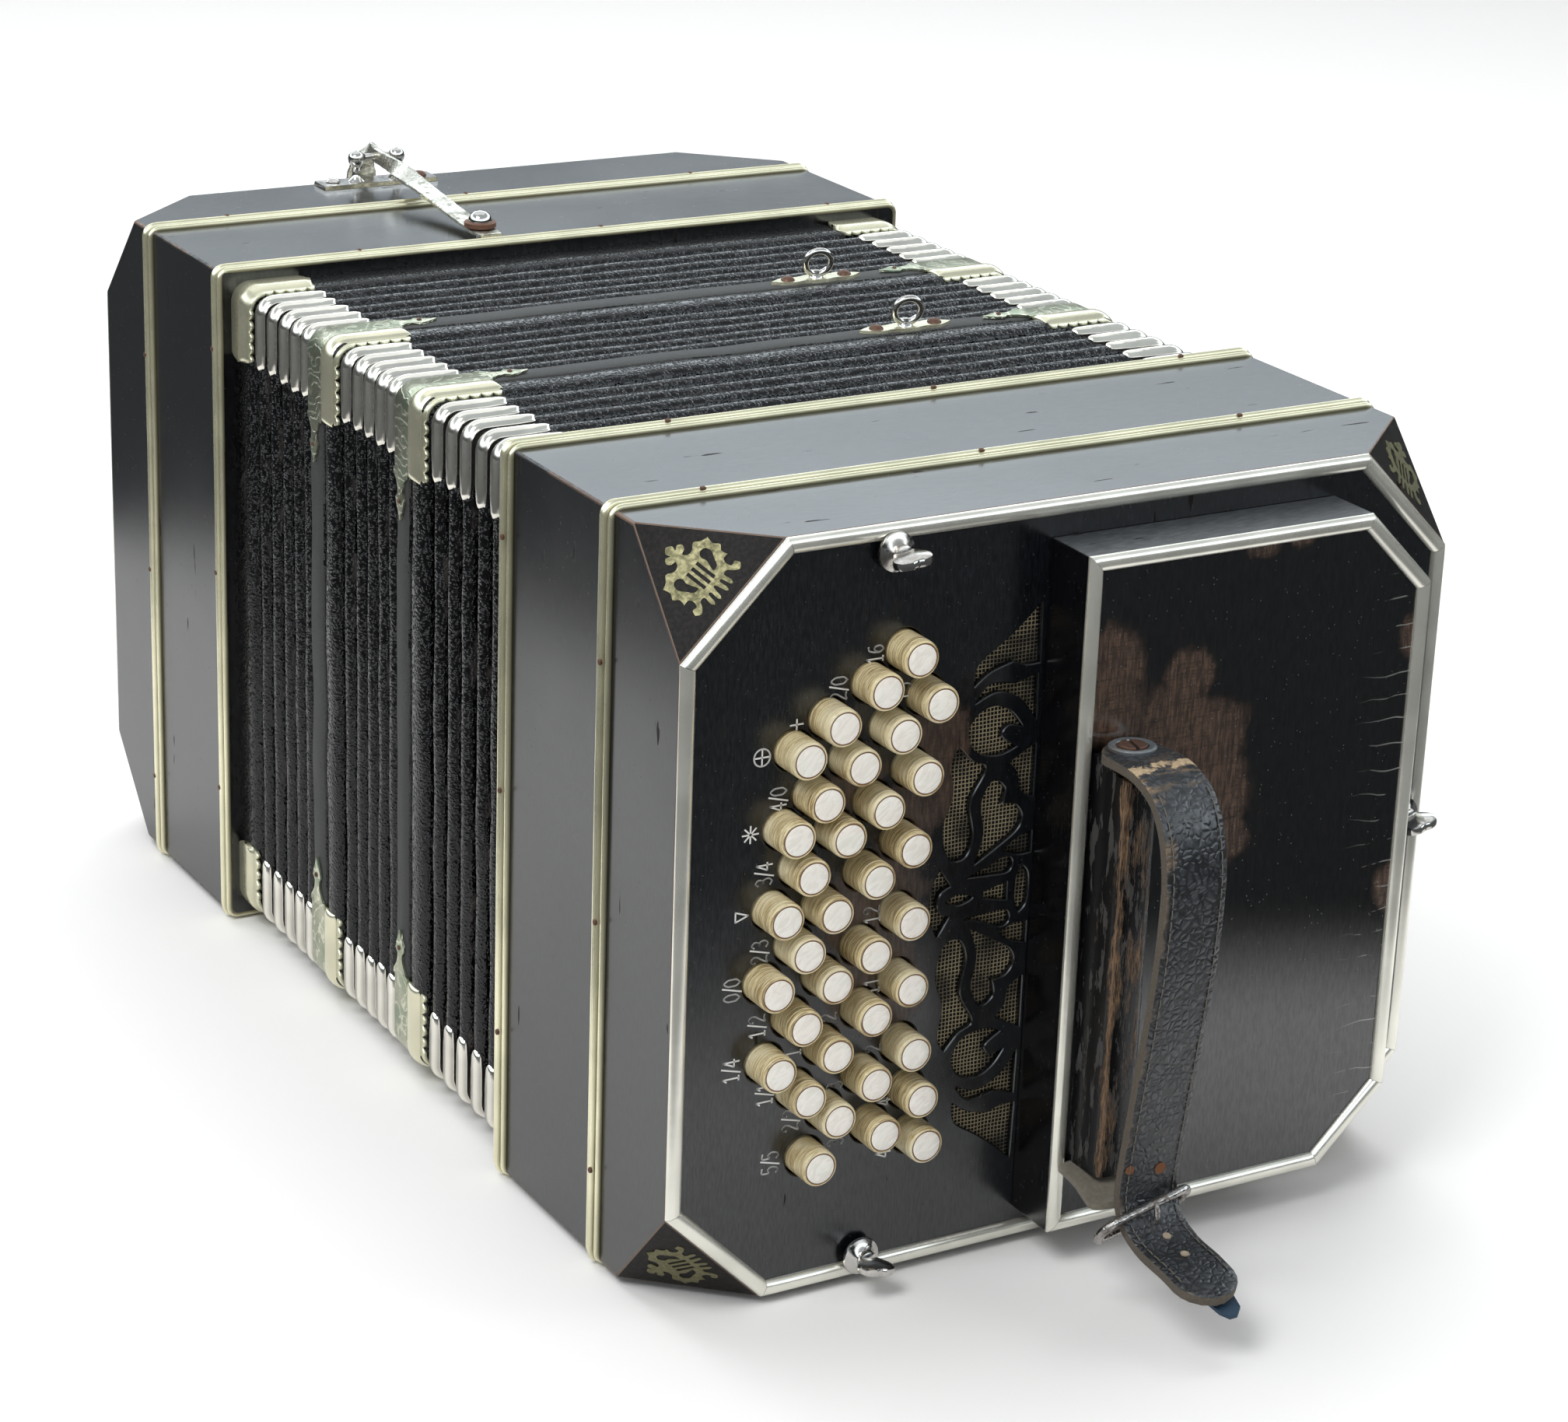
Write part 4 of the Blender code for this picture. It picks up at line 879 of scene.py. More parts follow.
FRET_CENTRE = [
    ([(-40.8, 8), (-37.3, 2.5), (-40.3, 1), (-41.3, -2), (-40.3, -5), (-37.3, -6.5), (-40.8, -12),
      (-43.3, -6), (-43.3, 2)], (0, 1, 5, 6)),
    ([(-38.5, -2), (-34.5, -0.4), (-30, -2), (-34.5, -3.6)], (0,)),
    ([(-26.5, -1), (-19, 0.7), (-19, -4.7), (-26.5, -3)], (0, 1, 2, 3)),
    ([(-14.8, 5), (-12.4, 2), (-12.4, -6), (-14.8, -9), (-16.2, -5), (-16.2, 1)], (0, 3)),
]
FRET_THICK = 1.9
GAUZE_DEPTH = 2.02
GAUZE_THICK = 0.4
GAUZE_GAP = 0.6
# Half of the rebate on the back of the fretwork, which holds the gauze
REBATE_HALF = [(-9.5, 88), (-34.8, 88), (-37, 52), (-42, 45), (-45, 24)]
PLATE_GAP = 1.2
SCREW_HOLE_RADIUS = 2.4
HOLE_EASE = 0.35
FRET_EASE = 0.28


def below_middle(points):
    return [Vector((p[0], 2 * FRET_MIDDLE - p[1])) for p in points]


def rebate_outline(inset=0.0):
    return offset(anticlockwise(REBATE_HALF + below_middle(REBATE_HALF[::-1])), -inset)


def pierced_plate(side):
    """The end plate: holes with eased front edges, and fretwork thinned from the back for the gauze."""
    mesh = bmesh.new()
    outer = cut_rectangle(HALF_WIDTH - PLATE_GAP, HALF_HEIGHT - PLATE_GAP, FACET_CUT - 0.7)
    holes = [circle(x, z, HOLE_RADIUS, 32) for x, z in button_places(side)]
    holes += [circle(x, z, SCREW_HOLE_RADIUS, 16) for x, z, turn in THUMB_PLACES.values()]
    frets = [spline(points, 5, True, sharp) for points, sharp in FRET_HALF]
    frets += [below_middle(fret) for fret in frets]
    frets += [spline(points, 5, True, sharp) for points, sharp in FRET_CENTRE]
    frets = [anticlockwise(fret) for fret in frets]
    rebate = rebate_outline()

    def lift(loops, depth, step=-1):
        return [[mesh.verts.new(point) for point in end_ring(side, loop[::step], depth)] for loop in loops]

    edge_front, edge_back = lift([outer], 0.0, 1), lift([outer], PLATE_THICK, 1)
    hole_front = lift([offset(hole, HOLE_EASE) for hole in holes], 0.0)
    hole_eased, hole_back = lift(holes, HOLE_EASE), lift(holes, PLATE_THICK)
    fret_front = lift([offset(fret, FRET_EASE) for fret in frets], 0.0)
    fret_eased, fret_back = lift(frets, FRET_EASE), lift(frets, FRET_THICK)
    rebate_floor, rebate_back = lift([rebate], FRET_THICK, 1), lift([rebate], PLATE_THICK)
    walls = ((edge_front, edge_back), (hole_front, hole_eased), (hole_eased, hole_back),
             (fret_front, fret_eased), (fret_eased, fret_back), (lift([rebate], FRET_THICK), rebate_back))
    for upper, lower in walls:
        for first, second in zip(upper, lower):
            band(mesh, first, second)
    for loops in (edge_front + hole_front + fret_front, rebate_floor + fret_back,
                  edge_back + hole_back + rebate_back):
        verts = [v for loop in loops for v in loop]
        for triangle in tessellate_polygon([[Vector((v.co.x, v.co.z, 0)) for v in loop] for loop in loops]):
            mesh.faces.new([verts[i] for i in triangle])
    bmesh.ops.remove_doubles(mesh, verts=mesh.verts, dist=1e-7)
    end_piece(side, "pierced_plate", mesh, "plate", "black_wood", "end_plate", smooth=30)


# The edging's section: (height, share of the width)
EDGING_PROFILE = ((-0.45, 0.06), (0.1, 0.0), (0.45, 0.05), (0.78, 0.18), (0.95, 0.38), (0.97, 0.58),
                  (0.80, 0.80), (0.42, 0.95), (0.0, 1.0), (-0.35, 0.95))
# Along each strip: (share of its length, how far it sinks)
EDGING_STATIONS = ((0.0, 0.12), (0.02, 0.0), (0.5, 0.0), (0.98, 0.0), (1.0, 0.12))
MITRE_GAP = 0.06


def edging(side, name, corners, face_depth):
    """Half-round metal strips along an outline, mitred at its corners."""
    mesh = bmesh.new()
    count = len(corners)
    centre = sum((Vector(p) for p in corners), Vector((0, 0))) / count
    mitres = []
    for i in range(count):
        here = Vector(corners[i])
        ahead = (Vector(corners[(i + 1) % count]) - here).normalized()
        behind = (here - Vector(corners[i - 1])).normalized()
        inward = (ahead + behind).orthogonal().normalized()
        if inward.dot(centre - here) < 0:
            inward = -inward
        mitres.append((here, inward / max(abs(inward.cross(ahead)), 0.2)))
    for i in range(count):
        (a, a_in), (b, b_in) = mitres[i], mitres[(i + 1) % count]
        gap = (b - a).normalized() * MITRE_GAP
        rings = []
        for station, sink in EDGING_STATIONS:
            ring = []
            for rise, share in EDGING_PROFILE:
                start, end = a + a_in * share * EDGING_WIDTH + gap, b + b_in * share * EDGING_WIDTH - gap
                p = start.lerp(end, station)
                ring.append(on_end(side, p.x, face_depth - rise * EDGING_PROUD + sink, p.y))
            rings.append(ring)
        skin(mesh, rings)
    end_piece(side, name, mesh, "edging", "nickel", smooth=50)


def gauze_panel(side):
    """Gauze stretched in the rebate behind the fretwork."""
    mesh = bmesh.new()
    outline = rebate_outline(GAUZE_GAP)
    slab(mesh, outline, [], lambda x, z: on_end(side, x, GAUZE_DEPTH, z),
         lambda x, z: on_end(side, x, GAUZE_DEPTH + GAUZE_THICK, z))
    made = end_piece(side, "gauze", mesh, "gauze", "gauze", "grille_cloth")
    size = [(max(values) - min(values)) * MM for values in zip(*outline)]
    area(outline) * MM * MM


# Buttons and their signs

BARREL_GROOVES = (0.6, 1.5, 2.2, 3.4, 4.2, 5.6)
BARREL_RIM = ((6.9, 0.0), (7.05, 0.22), (7.3, 0.22), (7.45, 0.0), (8.4, 0.06), (8.8, 0.25), (9.0, 0.6))
# The barrel, the ring and the disc of pearl: (material, [(height over the plate, radius)])
BUTTON_PARTS = (
    (0, [(-7.6, 4.9), (-7.2, BUTTON_RADIUS)]
     + [(groove + step, BUTTON_RADIUS - deep) for groove in BARREL_GROOVES
        for step, deep in ((-0.15, 0.0), (0.0, 0.06), (0.15, 0.0))]
     + [(height, BUTTON_RADIUS - inset) for height, inset in BARREL_RIM]
     + [(9.0, PEARL_RADIUS + 0.36), (8.8, PEARL_RADIUS + 0.3)]),
    (2, [(8.3, PEARL_RADIUS + 0.34), (8.95, PEARL_RADIUS + 0.34), (8.95, PEARL_RADIUS - 0.1)]),
    (1, [(8.0, PEARL_RADIUS), (8.92, PEARL_RADIUS), (9.0, PEARL_RADIUS - 0.12),
         (9.05, PEARL_RADIUS * 0.5), (9.06, 0.2)]),
)


def button_mesh(side, places):
    mesh = bmesh.new()
    for x, z in places:
        for paint, profile in BUTTON_PARTS:
            turned(mesh, on_end(side, x, 0, z), (0, side, 0), profile, 32, paint)
    return mesh


def buttons():
    for number, place in enumerate(button_places(-1), 1):
        name = f"bass_button_{number:02d}"
        piece(name + "_turned", button_mesh(-1, [place]), "bone pearl pearl_ring", name, "buttons",
              stands_for=(name,))
    piece("treble_buttons_turned", button_mesh(1, button_places(1)), "bone pearl pearl_ring", "treble_end",
          "buttons")


SIGNS = [
    ("16", -64.5, 73), ("2/0", -75, 65), ("15", -55.3, 61.2), ("+", -87.3, 57), ("O", -97.3, 49.5),
    ("4/0", -92, 37), ("*", -100, 28.5), ("3/4", -95.5, 16.5), ("V", -102, 5.5), ("2/3", -96, -5.5),
    ("0/0", -104, -15), ("1/2", -96, -27), ("1/4", -103.5, -38.5), ("1/1", -93, -47.5),
    ("2/2", -84.5, -57), ("3/3", -70.2, -64.5), ("4/4", -54.8, -71.5), ("5/5", -90.5, -68.5),
    ("12", -61.8, -1.1), ("11", -61, -22.1), ("1", -84.7, -37), ("2", -74, -28.7), ("3", -71.2, -49.6),
    ("2", -59.4, -40.9), ("4", -55.1, -57.9),
]
SIGN_HEIGHT = 4.8
SIGN_STROKE = 0.44
SIGN_LIFT = 0.06
LETTER_WIDTH = 0.8
# Strokes of each sign on a grid one unit high: lists of points that a smooth line runs through
STROKES = {
    "0": [[(0.3, 0), (0.08, 0.22), (0.05, 0.5), (0.08, 0.78), (0.3, 1), (0.52, 0.78), (0.55, 0.5),
           (0.52, 0.22), (0.3, 0)]],
    "1": [[(0.08, 0.78), (0.28, 1), (0.28, 0)], [(0.1, 0), (0.46, 0)]],
    "2": [[(0.08, 0.78), (0.14, 0.95), (0.32, 1), (0.5, 0.86), (0.48, 0.62), (0.28, 0.36), (0.06, 0.02),
           (0.3, 0.06), (0.56, 0.04)]],
    "3": [[(0.08, 0.86), (0.26, 1), (0.48, 0.86), (0.44, 0.62), (0.24, 0.54)],
          [(0.24, 0.54), (0.48, 0.46), (0.54, 0.2), (0.34, 0.0), (0.08, 0.1)]],
    "4": [[(0.42, 0), (0.42, 1), (0.04, 0.32), (0.6, 0.32)]],
    "5": [[(0.5, 1), (0.14, 1), (0.12, 0.58), (0.36, 0.62), (0.54, 0.4), (0.46, 0.1), (0.24, 0),
           (0.06, 0.1)]],
    "6": [[(0.48, 0.94), (0.22, 0.86), (0.08, 0.5), (0.1, 0.16), (0.3, 0), (0.52, 0.18), (0.48, 0.46),
           (0.28, 0.54), (0.1, 0.36)]],
    "/": [[(0.0, -0.1), (0.42, 1.1)]],
    "+": [[(0.3, 0.1), (0.3, 0.9)], [(-0.08, 0.5), (0.68, 0.5)]],
    "V": [[(0.0, 0.85), (0.36, 0.05), (0.72, 0.85), (0.0, 0.85)]],
}
STRAIGHT_SIGNS = "1/+V4"


def round_points(count):
    """Points round a circle one unit across, whose last is its first again."""
    angles = [math.tau * k / count for k in range(count + 1)]
    return [(0.5 + 0.5 * math.cos(a), 0.5 + 0.5 * math.sin(a)) for a in angles]


def sign_strokes(letters):
    """The strokes of a sign and its width, in units of its height."""
    if letters == "O":
        return [round_points(24), [(0.5, 0.02), (0.5, 0.98)], [(0.02, 0.5), (0.98, 0.5)]], 1.0
    if letters == "*":
        return [[(0.5, 0.5), end] for end in round_points(8)[:-1]], 1.0
    strokes, pen = [], 0.0
    for letter in letters:
        for stroke in STROKES[letter]:
            curve = stroke if letter in STRAIGHT_SIGNS else spline(stroke, 4)
            strokes.append([((x + pen) * LETTER_WIDTH, y) for x, y in curve])
        pen += 0.46 if letter == "/" else 0.68
    return strokes, (pen - 0.1) * LETTER_WIDTH


def signs():
    """Hand-painted numbers and signs beside the bass buttons, turned a quarter to the left."""
    mesh = bmesh.new()
    for letters, x, z in SIGNS:
        strokes, width = sign_strokes(letters)
        for stroke in strokes:
            points = [Vector((x - (v - 0.5) * SIGN_HEIGHT, z + (u - width / 2) * SIGN_HEIGHT))
                      for u, v in stroke]
            for a, b in zip(points, points[1:]):
                heading = (b - a).normalized()
                across = heading.orthogonal() * SIGN_STROKE / 2
                past = heading * 0.1
                corners = [a - across - past, b - across + past, b + across + past, a + across - past]
                skin(mesh, [end_ring(-1, corners, depth) for depth in (0.03, -SIGN_LIFT)])
    piece("bass_button_signs", mesh, "mark", "bass_end", "black_wood", smooth=20)


# Hand box, rail and strap

def box_corners(inset=0.0):
    left, right = BOX_LEFT + inset, BOX_RIGHT - inset
    top, bottom = BOX_TOP - inset, BOX_BOTTOM + inset
    cut = BOX_CUT - inset * (2 - math.sqrt(2))
    return [(left, bottom), (right - cut, bottom), (right, bottom + cut), (right, top - cut),
            (right - cut, top), (left, top)]


def hand_box(side):
    wall = 6.0
    mesh = shell([end_ring(side, box_corners(inset), depth) for inset, depth in (
        (wall, wall - BOX_HEIGHT), (wall, -0.02), (0.0, -0.02), (0.0, -BOX_HEIGHT))])
    bmesh.ops.recalc_face_normals(mesh, faces=mesh.faces)
    # Top faces take the paler top lacquer: partly dust, partly painted sheen.
    for face in mesh.faces:
        face.material_index = 0 if abs(face.normal.y) > 0.7 else 2 if face.normal.z > 0.5 else 1
    end_piece(side, "box_walls", mesh, "box box_side box_top", "black_wood", "hand_box", bevel=0.5)


# The rail's section: (x from its left, height and share of its slanted end's fall, wear of the paint)
RAIL_SECTION = ((0.0, 0.0, 0.0, 0.0), (0.5, 0.85, 0.7, 0.25), (1.3, 0.96, 0.9, 1.0), (3.0, 1.0, 1.0, 0.5),
                (RAIL_WIDTH - 3.2, 1.0, 1.0, 0.4), (RAIL_WIDTH - 1.4, 0.95, 0.9, 0.15),
                (RAIL_WIDTH - 0.5, 0.8, 0.7, 0.0), (RAIL_WIDTH, 0.0, 0.0, 0.0))
RAIL_RUNS = 40
RAIL_SLANT = 4.0


def hand_rail(side):
    """The bar on the box: its outer ridge is eased, and its upper end is cut on a slant."""
    rings, values = [], []
    for k in range(RAIL_RUNS + 1):
        ring = []
        for number, (from_left, height, share, wear) in enumerate(RAIL_SECTION):
            x, depth = RAIL_LEFT + from_left, -BOX_HEIGHT - height * RAIL_HEIGHT
            z = RAIL_BOTTOM + (RAIL_TOP - RAIL_SLANT * share - RAIL_BOTTOM) * k / RAIL_RUNS
            sway = 0.25 * noise.noise(Vector((x * 0.2, z * 0.05, 3.0 + depth * 0.1)))
            ring.append(on_end(side, x + sway * (share > 0), depth + sway * share, z))
            patch = 0.9 * noise.noise(Vector((k * 0.16, number * 0.8, 2.0))) if 3 <= number <= 5 else 0.0
            values.append(max(wear + patch, 0.0))
        rings.append(ring)
    made = end_piece(side, "rail_bar", shell(rings), "rail", "rail_wood", "hand_rail", smooth=50)
    paint_points(made, "wear", values)


def ribbon(route, width, round_start=0.0, round_tip=0.0):
    """Stations along a strap: centre, heading, half width and the length so far."""
    curve = spline(route, 6)
    lengths = [0.0]
    for a, b in zip(curve, curve[1:]):
        lengths.append(lengths[-1] + (b - a).length)
    stations = []
    for i, point in enumerate(curve):
        heading = (curve[min(i + 1, len(curve) - 1)] - curve[max(i - 1, 0)]).normalized()
        half = width / 2
        for left, reach in ((lengths[i], round_start), (lengths[-1] - lengths[i], round_tip)):
            if left < reach:
                half *= rounding(left, reach)
        stations.append((point, heading, half, lengths[i]))
    return stations


def strap_point(side, x, point):
    return on_end(side, x, -point.x, point.y)


# Shares of the half width across a strap's face
STRAP_ACROSS = (-1.0, -0.97, -0.88, -0.6, -0.2, 0.2, 0.6, 0.88, 0.97, 1.0)
STRAP_CROWN = 0.3
STRAP_STATIONS = ribbon(STRAP_ROUTE, STRAP_WIDTH, 9.5, 9.0)
STRAP_LENGTH = STRAP_STATIONS[-1][3]
# The stretch of its length where the strap is frayed
FRAY = (18.0, 23.0)


def strap_rings(side, stations, thick, x, crown):
    """Rings of a strap with eased edges: the outer face first, then the inner one."""
    rings = []
    for point, heading, half, length in stations:
        outer = heading.orthogonal()
        ring = []
        for face in (1, -1):
            for u in STRAP_ACROSS[::face]:
                lift = face * thick / 2 * (1 - max(abs(u) - 0.93, 0) / 0.07 * 0.16) + crown * (1 - u * u)
                if face > 0:
                    lift += 0.12 * noise.noise(Vector((u * 2.2, length * 0.22, 1.0)))
                    if FRAY[0] < length < FRAY[1]:
                        lift += 0.35 * noise.noise(Vector((u * 9, length * 1.7, 9.0)))
                ring.append(strap_point(side, x + u * half, point + outer * lift))
        rings.append(ring)
    return rings


def paint_strap(made):
    """A black face, brown suede on the edges and inside, and a frayed band where the face starts."""
    across = len(STRAP_ACROSS)
    count = 2 * across
    fray_start, fray_end = FRAY
    middle = (fray_start + fray_end) / 2
    values, bare = [], []
    for i in range(len(made.data.vertices)):
        station, place = divmod(i, count)
        length = STRAP_STATIONS[station][3]
        frayed_on = length > fray_start
        wear = {0: 0.45, 1: 0.3, across - 2: 0.1, across - 1: 0.3}.get(place, 0.0)
        past_fray = min(max(1 - (length - fray_end) / 9.0, 0.0), 1.0) if frayed_on else 0.2
        cracked = 0.6 if place < 3 and fray_end < length < fray_end + 26 else 0.0
        values.append(min(wear + past_fray * 0.6 + cracked, 1.0) if place < across else 0.0)
        away = abs(length - middle) / (fray_end - middle)
        at_rim = 0.25 if place < 2 and frayed_on else 0.0
        bare.append(max(1.0 + at_rim - 0.42 * max(away - 0.3, 0.0), 0.0))
    paint_points(made, "wear", values)
    paint_points(made, "fray", bare)
    for face in made.data.polygons:
        places = [v % count for v in face.vertices]
        on_face = max(places) < across and max(places) - min(places) <= 1
        face.material_index = 0 if on_face else 1


def on_strap(side, length, across, lift):
    """A point on the strap's face, by its length along it and its place across it, and its normal."""
    i = next((n for n, s in enumerate(STRAP_STATIONS) if s[3] >= length), len(STRAP_STATIONS) - 1)
    a, b = STRAP_STATIONS[max(i - 1, 0)], STRAP_STATIONS[i]
    share = (length - a[3]) / max(b[3] - a[3], 1e-6)
    point, outer = a[0].lerp(b[0], share), a[1].lerp(b[1], share).normalized().orthogonal()
    crown = STRAP_CROWN * (1 - (2 * across / STRAP_WIDTH) ** 2)
    spot = strap_point(side, STRAP_X + across, point + outer * (STRAP_THICK / 2 + crown + lift))
    return spot, (strap_point(side, STRAP_X + across, point + outer * 30) - spot).normalized()


STITCH_PITCH = 3.3
STITCH_INSET = 1.8
STITCH_LENGTH = 0.78
# Holes in the strap: (length from the tip's far end, across, radius), the rusty ones and the pale ones
STRAP_HOLES = (((51.0, 2.4, 1.7), (52.5, -7.6, 1.3)), ((27.5, 0.5, 1.2), (18.5, 0.5, 1.2)))
# The scrap under the tab's tip: (place from the strap's end, half width)
SCRAP = (((-10.0, -2.0), 3.0), ((-4.0, -2.6), 4.2), ((0.2, -3.6), 3.4), ((2.0, -4.6), 1.2))


def stitches(side):
    """Two rows of stitches along the strap's face."""
    mesh = bmesh.new()
    start, end = FRAY[1] + 7.0, STRAP_LENGTH - 5.0
    for k in range(int((end - start) / STITCH_PITCH)):
        for row in (-1, 1):
            line = []
            for share in (0.0, 0.2, 0.4, 0.6, STITCH_LENGTH):
                length = start + (k + share) * STITCH_PITCH
                near = [s[2] for s in STRAP_STATIONS if abs(s[3] - length) < 1.5]
                half = min(near, default=STRAP_WIDTH / 2)
                lift = 0.1 + 0.22 * math.sin(math.pi * share / STITCH_LENGTH)
                line.append(on_strap(side, length, row * (half - STITCH_INSET), lift)[0])
            tube(mesh, line, 0.17, 6)
    end_piece(side, "strap_stitches", mesh, "thread", "strap_leather")


def strap(side):
    mesh = shell(strap_rings(side, STRAP_STATIONS, STRAP_THICK, STRAP_X, STRAP_CROWN))
    paint_strap(end_piece(side, "strap_leather", mesh, "strap strap_edge", "strap_leather", "hand_strap",
                          smooth=60))
    stitches(side)
    mesh = bmesh.new()
    for paint, holes in enumerate(STRAP_HOLES):
        for back, across, radius in holes:
            spot, outward = on_strap(side, STRAP_LENGTH - back, across, 0.25)
            turned(mesh, spot, outward, [(-0.4, radius), (0.06, radius), (0.0, radius * 0.6)], 16, paint)
    end_piece(side, "strap_holes", mesh, "hole pale_hole", "strap_leather")
    tab = ribbon(TAB_ROUTE, STRAP_WIDTH - 4, round_tip=6.0)
    mesh = shell(strap_rings(side, tab, 1.9, STRAP_X - 3.5, 0.8))
    skin(mesh, [[strap_point(side, STRAP_X + 3.0 + half * u, STRAP_STATIONS[-1][0] + Vector(place)
                             + Vector((0, rise))) for u, rise in ((-1, -0.5), (1, -0.5), (1, 0.5), (-1, 0.5))]
                for place, half in SCRAP], paint=1)
    end_piece(side, "strap_tab", mesh, "suede blue_scrap", "strap_leather", smooth=60)


BUCKLE_CENTRE = Vector((46.4, -82.8))
BUCKLE_LEAN = Vector((0.60, 0.80))
BUCKLE_HALF = (13.6, 4.8)
BUCKLE_SLANT = 0.24


def buckle(side):
    """A loop of bent wire round the strap, higher on its right, with its prong."""
    points = []
    for x, reach in rounded_rectangle(*BUCKLE_HALF, 4.2, 6, 2):
        place = BUCKLE_CENTRE + BUCKLE_LEAN * reach + Vector((0, BUCKLE_SLANT * x))
        points.append(strap_point(side, STRAP_X - 1.5 + x, place))
    mesh = bmesh.new()
    tube(mesh, points, 1.3, 12, closed=True)
    ways = (BUCKLE_LEAN * -4.6, Vector((4.0, -1.5)), Vector((4.6, 2.2)), BUCKLE_LEAN * 6.2)
    prong = spline([BUCKLE_CENTRE + way for way in ways], 5)
    tube(mesh, [strap_point(side, STRAP_X, p) for p in prong], 0.85, 8)
    end_piece(side, "strap_buckle", mesh, "wire", "nickel", smooth=60)


SCREW_LENGTH = 7.0
SCREW_RADIUS = 4.1
SLOT_HALF = 0.55


def strap_screw(side):
    """A cup washer and a rusty slotted screw on the strap's round end, and the block that it clamps."""
    seat, up = on_strap(side, SCREW_LENGTH, 0.0, 0.15)
    mesh = bmesh.new()
    turned(mesh, seat, up, [(-0.2, 6.5), (0.6, 6.6), (1.0, 6.0), (0.8, 4.6), (0.2, 4.2)], 32)
    # Under the two half heads: a disc in the near-black slot colour, painted shade at the bottom of the slot.
    turned(mesh, seat, up, [(0.0, SCREW_RADIUS), (0.6, SCREW_RADIUS), (0.65, 0.5)], 28, 2)
    across = up.cross(Vector((0.25, 1.0, 0))).normalized()
    along_slot = across.cross(up)
    arc = [math.radians(-82 + 164 * k / 12) for k in range(13)]
    for sign in (-1, 1):
        half_head = [(sign * max(SCREW_RADIUS * math.cos(a), SLOT_HALF), SCREW_RADIUS * math.sin(a))
                     for a in arc]
        skin(mesh, [[seat + ((across * x + along_slot * y) * grow + up * rise) * MM for x, y in half_head]
                    for rise, grow in ((0.3, 1.0), (0.95, 1.0), (1.25, 0.9))], paint=1)
    turned(mesh, seat - up * (STRAP_THICK + 0.2) * MM, up, [(-4.6, 5.6), (0.0, 5.8)], 24, 2)
    end_piece(side, "strap_screw", mesh, "steel rust dark", "nickel")


# Bellows

def side_reach(x, z):
    """How far a point of the bellows is from the nearest corner, along its side."""
    return max(min(HALF_WIDTH - abs(x), 90.0), min(HALF_HEIGHT - abs(z), 90.0))


def bellows_ring(from_bass, inset, seed=0.0, sway=0.0):
    radius = max(BELLOWS_CORNER - (inset - BELLOWS_INSET) * 0.25, 1.5)
    ring = []
    for x, z in rounded_rectangle(HALF_WIDTH - inset, HALF_HEIGHT - inset, radius, 34, 30):
        free = min(max((side_reach(x, z) - 24.0) / 20.0, 0.0), 1.0)
        spot = Vector((x * 0.05, z * 0.05, seed * 3.7))
        aside = sway * free * noise.noise(spot)
        in_out = sway * free * noise.noise(spot + Vector((0, 0, 50)))
        shrink = 1 - in_out / max(abs(x), abs(z), 1)
        ring.append(along(from_bass + aside, x * shrink, z * shrink))
    return ring


def inverse_step(share):
    """The place along a blend, from 0 to 1, where a point makes this share of the move."""
    return 0.5 - math.sin(math.asin(1 - 2 * share) / 3)


def rigid_blend(made):
    """Bakes the piece's placement into its mesh.
    """
    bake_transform(made)


# A crest's section: (distance from its middle, inset), with the wear of some of its points
CREST_SECTION = [(-CREST_HALF, 8.6), (-CREST_HALF, 7.4), (-CREST_HALF - 0.22, 7.2)]
CREST_SECTION += [(CREST_HALF * 1.08 * math.sin(math.pi * (k / 8 - 0.5)),
                   BELLOWS_INSET + CREST_ROUND * (1 - math.cos(math.pi * (k / 8 - 0.5)))) for k in range(9)]
CREST_SECTION += [(CREST_HALF + 0.22, 7.2), (CREST_HALF, 7.4), (CREST_HALF, 8.6)]
CREST_WEAR = {2: 0.9, 3: 1.0, 4: 0.55, 10: 0.55, 11: 1.0, 12: 0.9}


def crest(section, number, centre):
    """One fold's ridge: leather drawn over the card, on all four sides."""
    facts = SECTIONS[section]
    rings = [bellows_ring(centre + aside, inset, facts["seed"] + number, FOLD_SWAY)
             for aside, inset in CREST_SECTION]
    made = piece(f"bellows_{section}_fold_{number}", shell(rings, closed=True), "fold", None,
                 "bellows_leather", smooth=70)
    paint_points(made, "wear", [CREST_WEAR.get(i, 0.0) for i, ring in enumerate(rings) for point in ring])
    rigid_blend(made)
    return made


def valley(section, number, ends, shares):
    """The hidden folded wall between two ridges."""
    facts = SECTIONS[section]
    a, b = ends
    middle = (a + b) / 2
    wall = [(a, 6.6), (a + 0.15, 9.0), (a + 0.3 * (b - a), 14.0), (middle, BELLOWS_INSET + VALLEY_DEPTH),
            (b - 0.3 * (b - a), 14.0), (b - 0.15, 9.0), (b, 6.6),
            (b + 0.25, 9.5), (middle, BELLOWS_INSET + VALLEY_DEPTH + 1.2), (a - 0.25, 9.5)]
    seed = facts["seed"] + number
    rings = [bellows_ring(u, inset, seed if u < middle else seed + 1, FOLD_SWAY / (1 if inset < 8 else 2))
             for u, inset in wall]
    made = piece(f"bellows_{section}_valley_{number}", shell(rings, closed=True), "valley", None,
                 "bellows_leather", smooth=70)
    low, high = inverse_step(shares[0]), inverse_step(shares[1])
    run = (b - a) / (high - low)
    start = a - low * run
    along(start, 0, 0)
    along(start + run, 0, 0)
    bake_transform(made)


